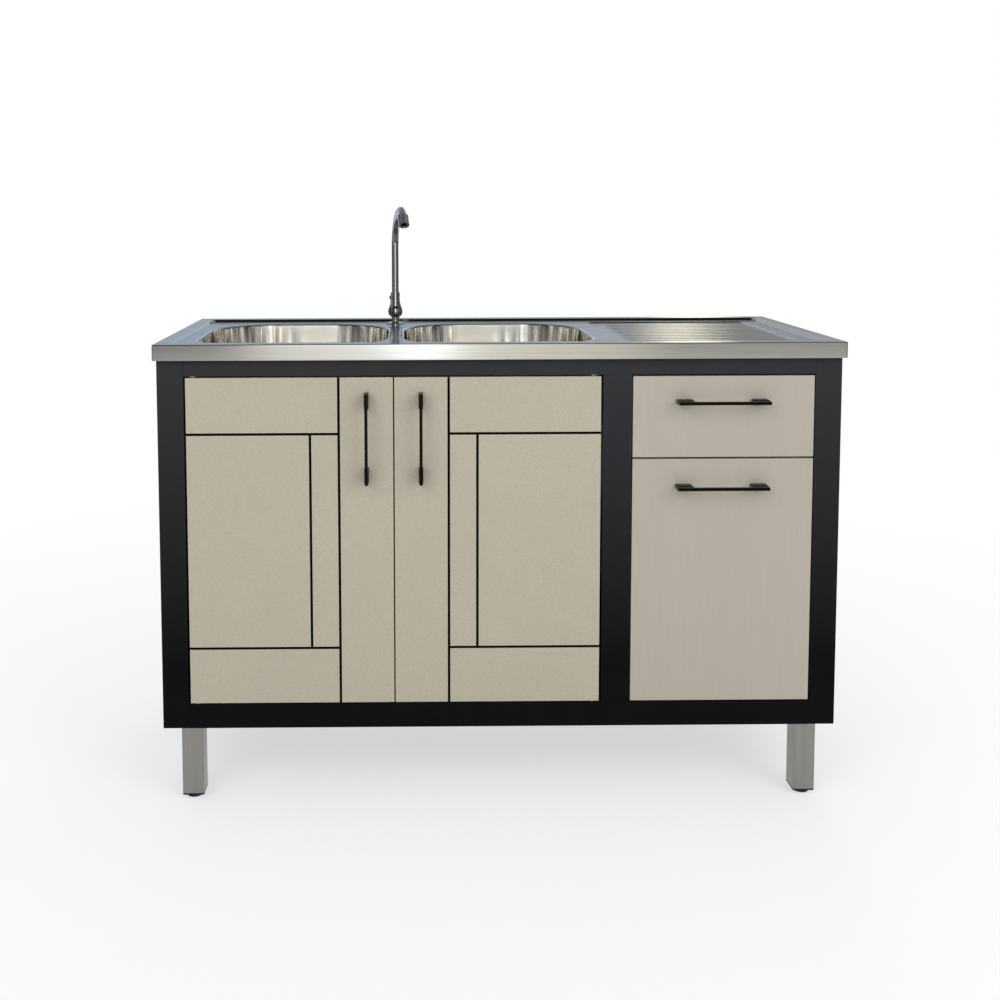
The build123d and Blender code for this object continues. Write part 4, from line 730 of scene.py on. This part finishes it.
class SINKUNIT_OT_frame(bpy.types.Operator):
    """Finishes the black front frame, the panels, and the timber and hardware inside"""
    bl_idname = "sinkunit.frame"
    bl_label = "Cabinet frame"

    def execute(self, context):
        coat = powder_coat("powder coat, satin black", unit().colours.black)
        bars = ["stile_left", "stile_middle", "stile_right", "front_top_rail", "front_bottom_rail"]
        dress(bars, coat, BAR_EDGE)
        panels = ["side_panel_left", "side_panel_right", "floor_panel", "partition", "inner_rails"]
        dress(panels, coat, PANEL_EDGE)
        # Hardboard: dull, with a faint mottle of pressed fibres
        dress(["back_panel"], board("hardboard, black face", "222224", (5.0, 5.0, 5.0), 0.04, 0.6), THIN_EDGE)
        # Pine: pale and warm, with its grain along the length, which black paint doesn't quite hide
        pine_grain = (60.0, 4.0, 4.0)
        dress(["worktop_battens"], board("pine batten, planed", "C4A77D", pine_grain, 0.12, 0.6), BAR_EDGE)
        dress(["leg_blocks"], board("pine block, painted black", "1E1D1C", pine_grain, 0.1, 0.6), BAR_EDGE)
        # Zinc plate: cool grey with a soft shine
        zinc = hardware("steel, zinc plated", "B9BCC0", 0.32)
        dress(["runner_tracks", "leg_bolts", "door_fixings_left", "door_fixings_right"], zinc)
        dress(["drawer_slides", "pullout_slides", "drawer_screws", "pullout_screws"], zinc)
        # Nylon: off-white and slightly waxy
        dress(["pivot_bushes"], board("nylon, moulded", "DAD8D0", (3.0, 3.0, 3.0), 0.02, 0.45))
        # ABS: black with a fine spark-eroded texture
        catches = board("ABS, moulded black", "1A1A1A", (2.0, 2.0, 2.0), 0.03, 0.5)
        dress(["door_catches"], catches, SMALL_EDGE)
        return {"FINISHED"}


class SINKUNIT_OT_doors(bpy.types.Operator):
    """Finishes the grooved doors"""
    bl_idname = "sinkunit.doors"
    bl_label = "Doors"

    def execute(self, context):
        colours = unit().colours
        for side in SIDES:
            foil = textured_foil(f"vinyl foil, pressed, {side} door", colours.door, colours.groove,
                                 *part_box(f"door_{side}"))
            dress([f"door_{side}"], foil, BAR_EDGE)
        return {"FINISHED"}


class SINKUNIT_OT_drawers(bpy.types.Operator):
    """Finishes the drawer and the pull-out"""
    bl_idname = "sinkunit.drawers"
    bl_label = "Drawer and pull-out"

    def execute(self, context):
        foil = wood_grain_foil("vinyl foil, wood-grain emboss", unit().colours.front)
        dress(["drawer_front", "pullout_front"], foil, PANEL_EDGE)
        # Melamine: plain white with a pearly grain
        melamine = board("chipboard, white melamine", "E4E2DC", (2.0, 2.0, 2.0), 0.03, 0.4)
        dress(["drawer_box", "pullout_box"], melamine, THIN_EDGE)
        return {"FINISHED"}


class SINKUNIT_OT_handles(bpy.types.Operator):
    """Makes the four bridge handles, each a flat bar on two feet with slanted ends"""
    bl_idname = "sinkunit.handles"
    bl_label = "Handles"

    def execute(self, context):
        plate = black_plate("zinc alloy, cast and black nickel plated", unit().colours.handle)
        upright = Matrix(((0, 0, 1, 0), (0, 1, 0, 0), (1, 0, 0, 0), (0, 0, 0, 1)))
        bodies = {"door_handle_left": "door_left", "door_handle_right": "door_right",
                  "drawer_handle": "drawer", "pullout_handle": "pullout"}
        for name, body in bodies.items():
            low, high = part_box(name)
            middle, size = (low + high) / 2, high - low
            bm = self.half(max(size.x, size.z) / 2, size.y)
            bmesh.ops.mirror(bm, geom=bm.verts[:] + bm.edges[:] + bm.faces[:], axis="X", merge_dist=TOUCH)
            place = Matrix.Translation((middle.x, high.y, middle.z))
            bmesh.ops.transform(bm, matrix=place @ upright if size.z > size.x else place, verts=bm.verts)
            to_piece(bm, name + "_cast", plate, body, name)
        return {"FINISHED"}

    def half(self, end, reach):
        """Half a handle along X, open at its middle: its outline and its foot's wide block, rounded."""
        sizes = unit().handles
        front, under = -reach, sizes.bar - reach
        foot_end = end - sizes.slant
        inner = foot_end - sizes.foot
        outline = ((0.0, front), (end - sizes.tip, front), (end, under), (foot_end, 0.0),
                   (inner + sizes.heel, 0.0), (inner, under + sizes.web), (inner - sizes.web, under),
                   (0.0, under))
        bm = bmesh.new()
        flat = bm.faces.new([bm.verts.new((along, out, -sizes.width / 2)) for along, out in outline])
        drawn = bmesh.ops.extrude_face_region(bm, geom=[flat])["geom"]
        bmesh.ops.translate(bm, verts=[item for item in drawn if isinstance(item, bmesh.types.BMVert)],
                            vec=(0.0, 0.0, sizes.width))
        block = sizes.foot - sizes.foot_inset
        foot = Matrix.Translation((foot_end - block / 2, -sizes.foot_depth / 2, 0.0))
        foot = foot @ Matrix.Diagonal((block, sizes.foot_depth, sizes.foot_width, 1.0))
        bmesh.ops.create_cube(bm, size=1.0, matrix=foot)
        sharp = [edge for edge in bm.edges if edge.calc_face_angle(0.0) > CREASE
                 and max(abs(vert.co.x) for vert in edge.verts) > TOUCH]
        round_edges(bm, sharp, sizes.edge, 3)
        seam = [face for face in bm.faces if all(abs(vert.co.x) < TOUCH for vert in face.verts)]
        bmesh.ops.delete(bm, geom=seam, context="FACES")
        return bm


# Half outline of a levelling foot's pad: millimetres out from its axis and up from the floor
PAD = ((0.0, 0.0), (13.6, 0.0), (14.6, 0.5), (15.0, 1.6), (15.0, 2.8), (14.4, 4.2), (12.8, 5.6), (10.0, 6.4),
       (4.0, 6.7))
STEM = 4.0  # radius of a foot's stem


class SINKUNIT_OT_legs(bpy.types.Operator):
    """Finishes the square legs and moulds their levelling feet"""
    bl_idname = "sinkunit.legs"
    bl_label = "Legs"

    def execute(self, context):
        tube = brushed_steel("stainless tube, polished lengthwise", unit().colours.leg_steel, along=2,
                             roughness=0.2, streak=140.0, depth=0.01)
        # Polyethylene: black and matt, with a soft bloom
        plastic = board("polyethylene, moulded black", "0C0C0C", (2.5, 2.5, 2.5), 0.05, 0.6)
        corners = [f"{end}_{side}" for end in ("front", "back") for side in SIDES]
        dress([f"leg_{corner}" for corner in corners], tube, SMALL_EDGE)
        dress(["leg_plugs"], plastic)
        for corner in corners:
            name = f"foot_{corner}"
            low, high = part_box(name)
            centre, height = (low + high) / 2, (high.z - low.z) / MM
            bm = bmesh.new()
            verts = [bm.verts.new((centre.x + out * MM, centre.y, low.z + up * MM))
                     for out, up in (*PAD, (STEM, height), (0.0, height))]
            edges = [bm.edges.new(pair) for pair in zip(verts, verts[1:])]
            bmesh.ops.spin(bm, geom=verts + edges, cent=(centre.x, centre.y, 0), axis=(0, 0, 1),
                           dvec=(0, 0, 0), angle=math.tau, steps=40, use_merge=True)
            to_piece(bm, name + "_moulded", plastic, name, name)
        return {"FINISHED"}


# -------------------------------- stage
WHITE = (1.0, 1.0, 1.0, 1.0)
FLOOR = 8.0  # half the side of the floor, in metres
PAPER_GLOW = 0.56  # lifts the lit paper to nearly white
SHADOW = (0.9, 2.2)  # how far from the unit's middle, in metres, the paper turns plain white
STUDIO_RADIUS = 4.0
STUDIO_HEIGHT = 3.6

# Lamps: name, place, side in metres and power in watts
LAMPS = (("key", (-1.6, -2.6, 2.3), 2.2, 34.0), ("fill", (2.1, -2.3, 1.9), 2.0, 31.0),
         ("back", (0.4, 2.9, 2.4), 2.4, 34.0))
AIM = (0.0, 0.0, 0.5)

# What the studio wall shows in reflections: degrees round the unit from its right, and colour
WALL = ((-166, "101012"), (-157, "9A9A96"), (-149, "0C0C0E"), (-135, "0C0C0E"), (-130, "6A6A64"),
        (-124, "202020"), (-112, "484843"), (-105, "5C5C56"), (-103, "B4B2A8"), (-94, "C4C5C0"),
        (-93, "FFFFFF"), (-89.2, "FFFFFF"), (-88.5, "B0AEA0"), (-77, "969483"), (-73, "686761"),
        (-50, "6A6A64"), (-45, "0C0C0E"), (-30, "0C0C0E"), (-25, "8A8A86"), (-18, "101012"), (-12, "36383A"),
        (30, "36383A"), (50, "6C7076"), (66, "666664"), (68.6, "D8D4C4"), (70.6, "D8D4C4"), (73, "74767A"),
        (82, "6E7680"), (125, "6B7480"), (145, "36383C"))
WALL_SEAM = "36383C"  # on the unit's left, where the bands meet
WALL_STRENGTH = 3.6
# What the studio ceiling shows over the camera and over the unit, and where one turns into the other
CEILING = ("222224", "A4A6A8")
CEILING_TURN = (-1.3, -0.5)


class SINKUNIT_OT_stage(bpy.types.Operator):
    """Sets up the pale floor, the soft lights, the camera and what the metal mirrors"""
    bl_idname = "sinkunit.stage"
    bl_label = "Stage"

    def execute(self, context):
        settings = unit().stage
        bm = bmesh.new()
        ground = Matrix.Translation((0, 0, CAD_BOX[0].z))
        bmesh.ops.create_grid(bm, x_segments=1, y_segments=1, size=FLOOR, matrix=ground)
        to_object(bm, "floor", self.floor_paper())
        self.surroundings(settings.ambient)
        self.lamps()
        self.camera(settings)
        context.scene.view_settings.view_transform = "Standard"
        self.studio_wall()
        self.studio_ceiling()
        return {"FINISHED"}

    def surroundings(self, ambient):
        """A world that lights softly and shows as plain white."""
        world = bpy.data.worlds.new("studio")
        bpy.context.scene.world = world
        world.use_nodes = True
        back = world.node_tree.nodes["Background"]
        back.inputs["Color"].default_value = WHITE
        join(world, back, "Strength", self.seen(world, ambient))

    def lamps(self):
        """Soft square lamps, hidden from reflections so that the steel mirrors the wall alone."""
        for name, place, size, power in LAMPS:
            data = bpy.data.lights.new(name, "AREA")
            data.shape, data.size, data.energy = "SQUARE", size, power
            lamp = bpy.data.objects.new(name, data)
            lamp.location = place
            lamp.rotation_euler = (Vector(AIM) - Vector(place)).to_track_quat("-Z", "Y").to_euler()
            lamp.visible_glossy = False
            bpy.context.scene.collection.objects.link(lamp)

    def camera(self, settings):
        """The camera, with its lens shifted to frame the unit."""
        data = bpy.data.cameras.new("camera")
        data.sensor_width, data.lens = 36.0, settings.lens
        data.shift_x, data.shift_y = settings.shift
        camera = bpy.data.objects.new("camera", data)
        bpy.context.scene.collection.objects.link(camera)
        camera.matrix_world = (Matrix.Translation(settings.place) @ Matrix.Rotation(-settings.yaw, 4, "Z")
                               @ Matrix.Rotation(math.pi / 2 - settings.pitch, 4, "X")
                               @ Matrix.Rotation(settings.roll, 4, "Z"))
        bpy.context.scene.camera = camera

    def seen(self, owner, otherwise):
        """1 for rays that show the white backdrop, and another level for light."""
        rays = node(owner, "LightPath").outputs
        shown = rays["Is Camera Ray"]
        for other in ("Is Glossy Ray", "Is Transmission Ray"):
            shown = node(owner, "Math", {0: shown, 1: rays[other]}, operation="MAXIMUM").outputs[0]
        levels = {"Value": shown, "To Min": otherwise, "To Max": 1.0}
        return node(owner, "MapRange", levels, clamp=True).outputs["Result"]

    def floor_paper(self):
        """White studio paper: matt, with a soft shadow round the unit and plain white further off."""
        material, shader = finish("studio paper, matt white", linear("B4B4B4"), 0.9)
        lift = node(material, "Emission", {"Color": WHITE, "Strength": PAPER_GLOW})
        shadowed = node(material, "AddShader", {0: shader.outputs[0], 1: lift.outputs[0]})
        beyond = node(material, "Emission", {"Color": WHITE, "Strength": 1.0})
        place = node(material, "TexCoord").outputs["Object"]
        distance = node(material, "VectorMath", {0: place}, operation="LENGTH").outputs["Value"]
        fade = {"Value": distance, "From Min": SHADOW[0], "From Max": SHADOW[1]}
        away = node(material, "MapRange", fade, clamp=True).outputs["Result"]
        paper = node(material, "MixShader", {0: away, 1: shadowed.outputs[0], 2: beyond.outputs[0]})
        plain = node(material, "BsdfDiffuse", {"Color": linear("E6E6E4")})
        both = {0: self.seen(material, 0.0), 1: plain.outputs[0], 2: paper.outputs[0]}
        shown = node(material, "MixShader", both).outputs[0]
        join(material, material.node_tree.nodes["Material Output"], "Surface", shown)
        return material

    def reflector(self, bm, name, material):
        """Stands a card in the studio that shows only in reflections."""
        card = to_object(bm, name, material)
        card.visible_camera = card.visible_diffuse = card.visible_transmission = card.visible_shadow = False

    def studio_wall(self):
        """Studio wall for the metal to mirror: blue-grey behind the unit, warm and banded in front."""
        material = blank("studio wall, grey")
        place = node(material, "TexCoord").outputs["Object"]
        turn = node(material, "TexGradient", {"Vector": place}, gradient_type="RADIAL").outputs["Fac"]
        bands = node(material, "ValToRGB", {"Fac": turn})
        stops = bands.color_ramp.elements
        stops[0].color = stops[1].color = linear(WALL_SEAM)
        for degrees, value in WALL:
            stops.new(degrees / 360 + 0.5).color = linear(value)
        glow(material, bands.outputs["Color"], WALL_STRENGTH)
        bm = bmesh.new()
        post = [bmesh.ops.create_vert(bm, co=(STUDIO_RADIUS, 0.0, height))["vert"][0]
                for height in (0.0, STUDIO_HEIGHT)]
        bmesh.ops.spin(bm, geom=[*post, bm.edges.new(post)], cent=(0, 0, 0), axis=(0, 0, 1), dvec=(0, 0, 0),
                       angle=math.tau, steps=64, use_merge=True)
        self.reflector(bm, "wall", material)

    def studio_ceiling(self):
        """Studio ceiling for the metal to mirror: pale over the unit and dark over the camera."""
        material = blank("studio ceiling, grey")
        over_camera, over_unit = (linear(value) for value in CEILING)
        glow(material, blend(material, axes(material)["Y"], CEILING_TURN, over_camera, over_unit), 1.0)
        bm = bmesh.new()
        bmesh.ops.create_circle(bm, cap_ends=True, radius=STUDIO_RADIUS, segments=64,
                                matrix=Matrix.Translation((0, 0, STUDIO_HEIGHT)))
        self.reflector(bm, "ceiling", material)


# -------------------------------- panel
STEPS = (SINKUNIT_OT_worktop, SINKUNIT_OT_bowls, SINKUNIT_OT_wastes, SINKUNIT_OT_tap, SINKUNIT_OT_frame,
         SINKUNIT_OT_doors, SINKUNIT_OT_drawers, SINKUNIT_OT_handles, SINKUNIT_OT_legs, SINKUNIT_OT_stage)


class SINKUNIT_PT_panel(bpy.types.Panel):
    """Settings and steps of the sink unit"""
    bl_idname = "SINKUNIT_PT_panel"
    bl_label = "Sink Unit"
    bl_space_type = "VIEW_3D"
    bl_region_type = "UI"
    bl_category = "Sink Unit"

    def draw(self, context):
        for group in (unit().worktop, unit().bowls, unit().handles, unit().stage, unit().colours):
            box = self.layout.box()
            box.label(text=group.bl_rna.description)
            for name in group.__annotations__:
                box.prop(group, name)
        for operator in STEPS:
            self.layout.operator(operator.bl_idname)


CLASSES = (WorktopSizes, BowlSizes, HandleSizes, StageSettings, FinishColours, SinkUnit, *STEPS,
           SINKUNIT_PT_panel)


def register():
    """Registers the classes and puts the settings on the scene."""
    for item in CLASSES:
        bpy.utils.register_class(item)
    bpy.types.Scene.sink_unit = PointerProperty(type=SinkUnit)


def unregister():
    """Takes the settings off the scene and unregisters the classes."""
    del bpy.types.Scene.sink_unit
    for item in reversed(CLASSES):
        bpy.utils.unregister_class(item)


def main():
    register()
    for operator in STEPS:
        group, name = operator.bl_idname.split(".")
        getattr(getattr(bpy.ops, group), name)()


if __name__ == "__main__":
    main()
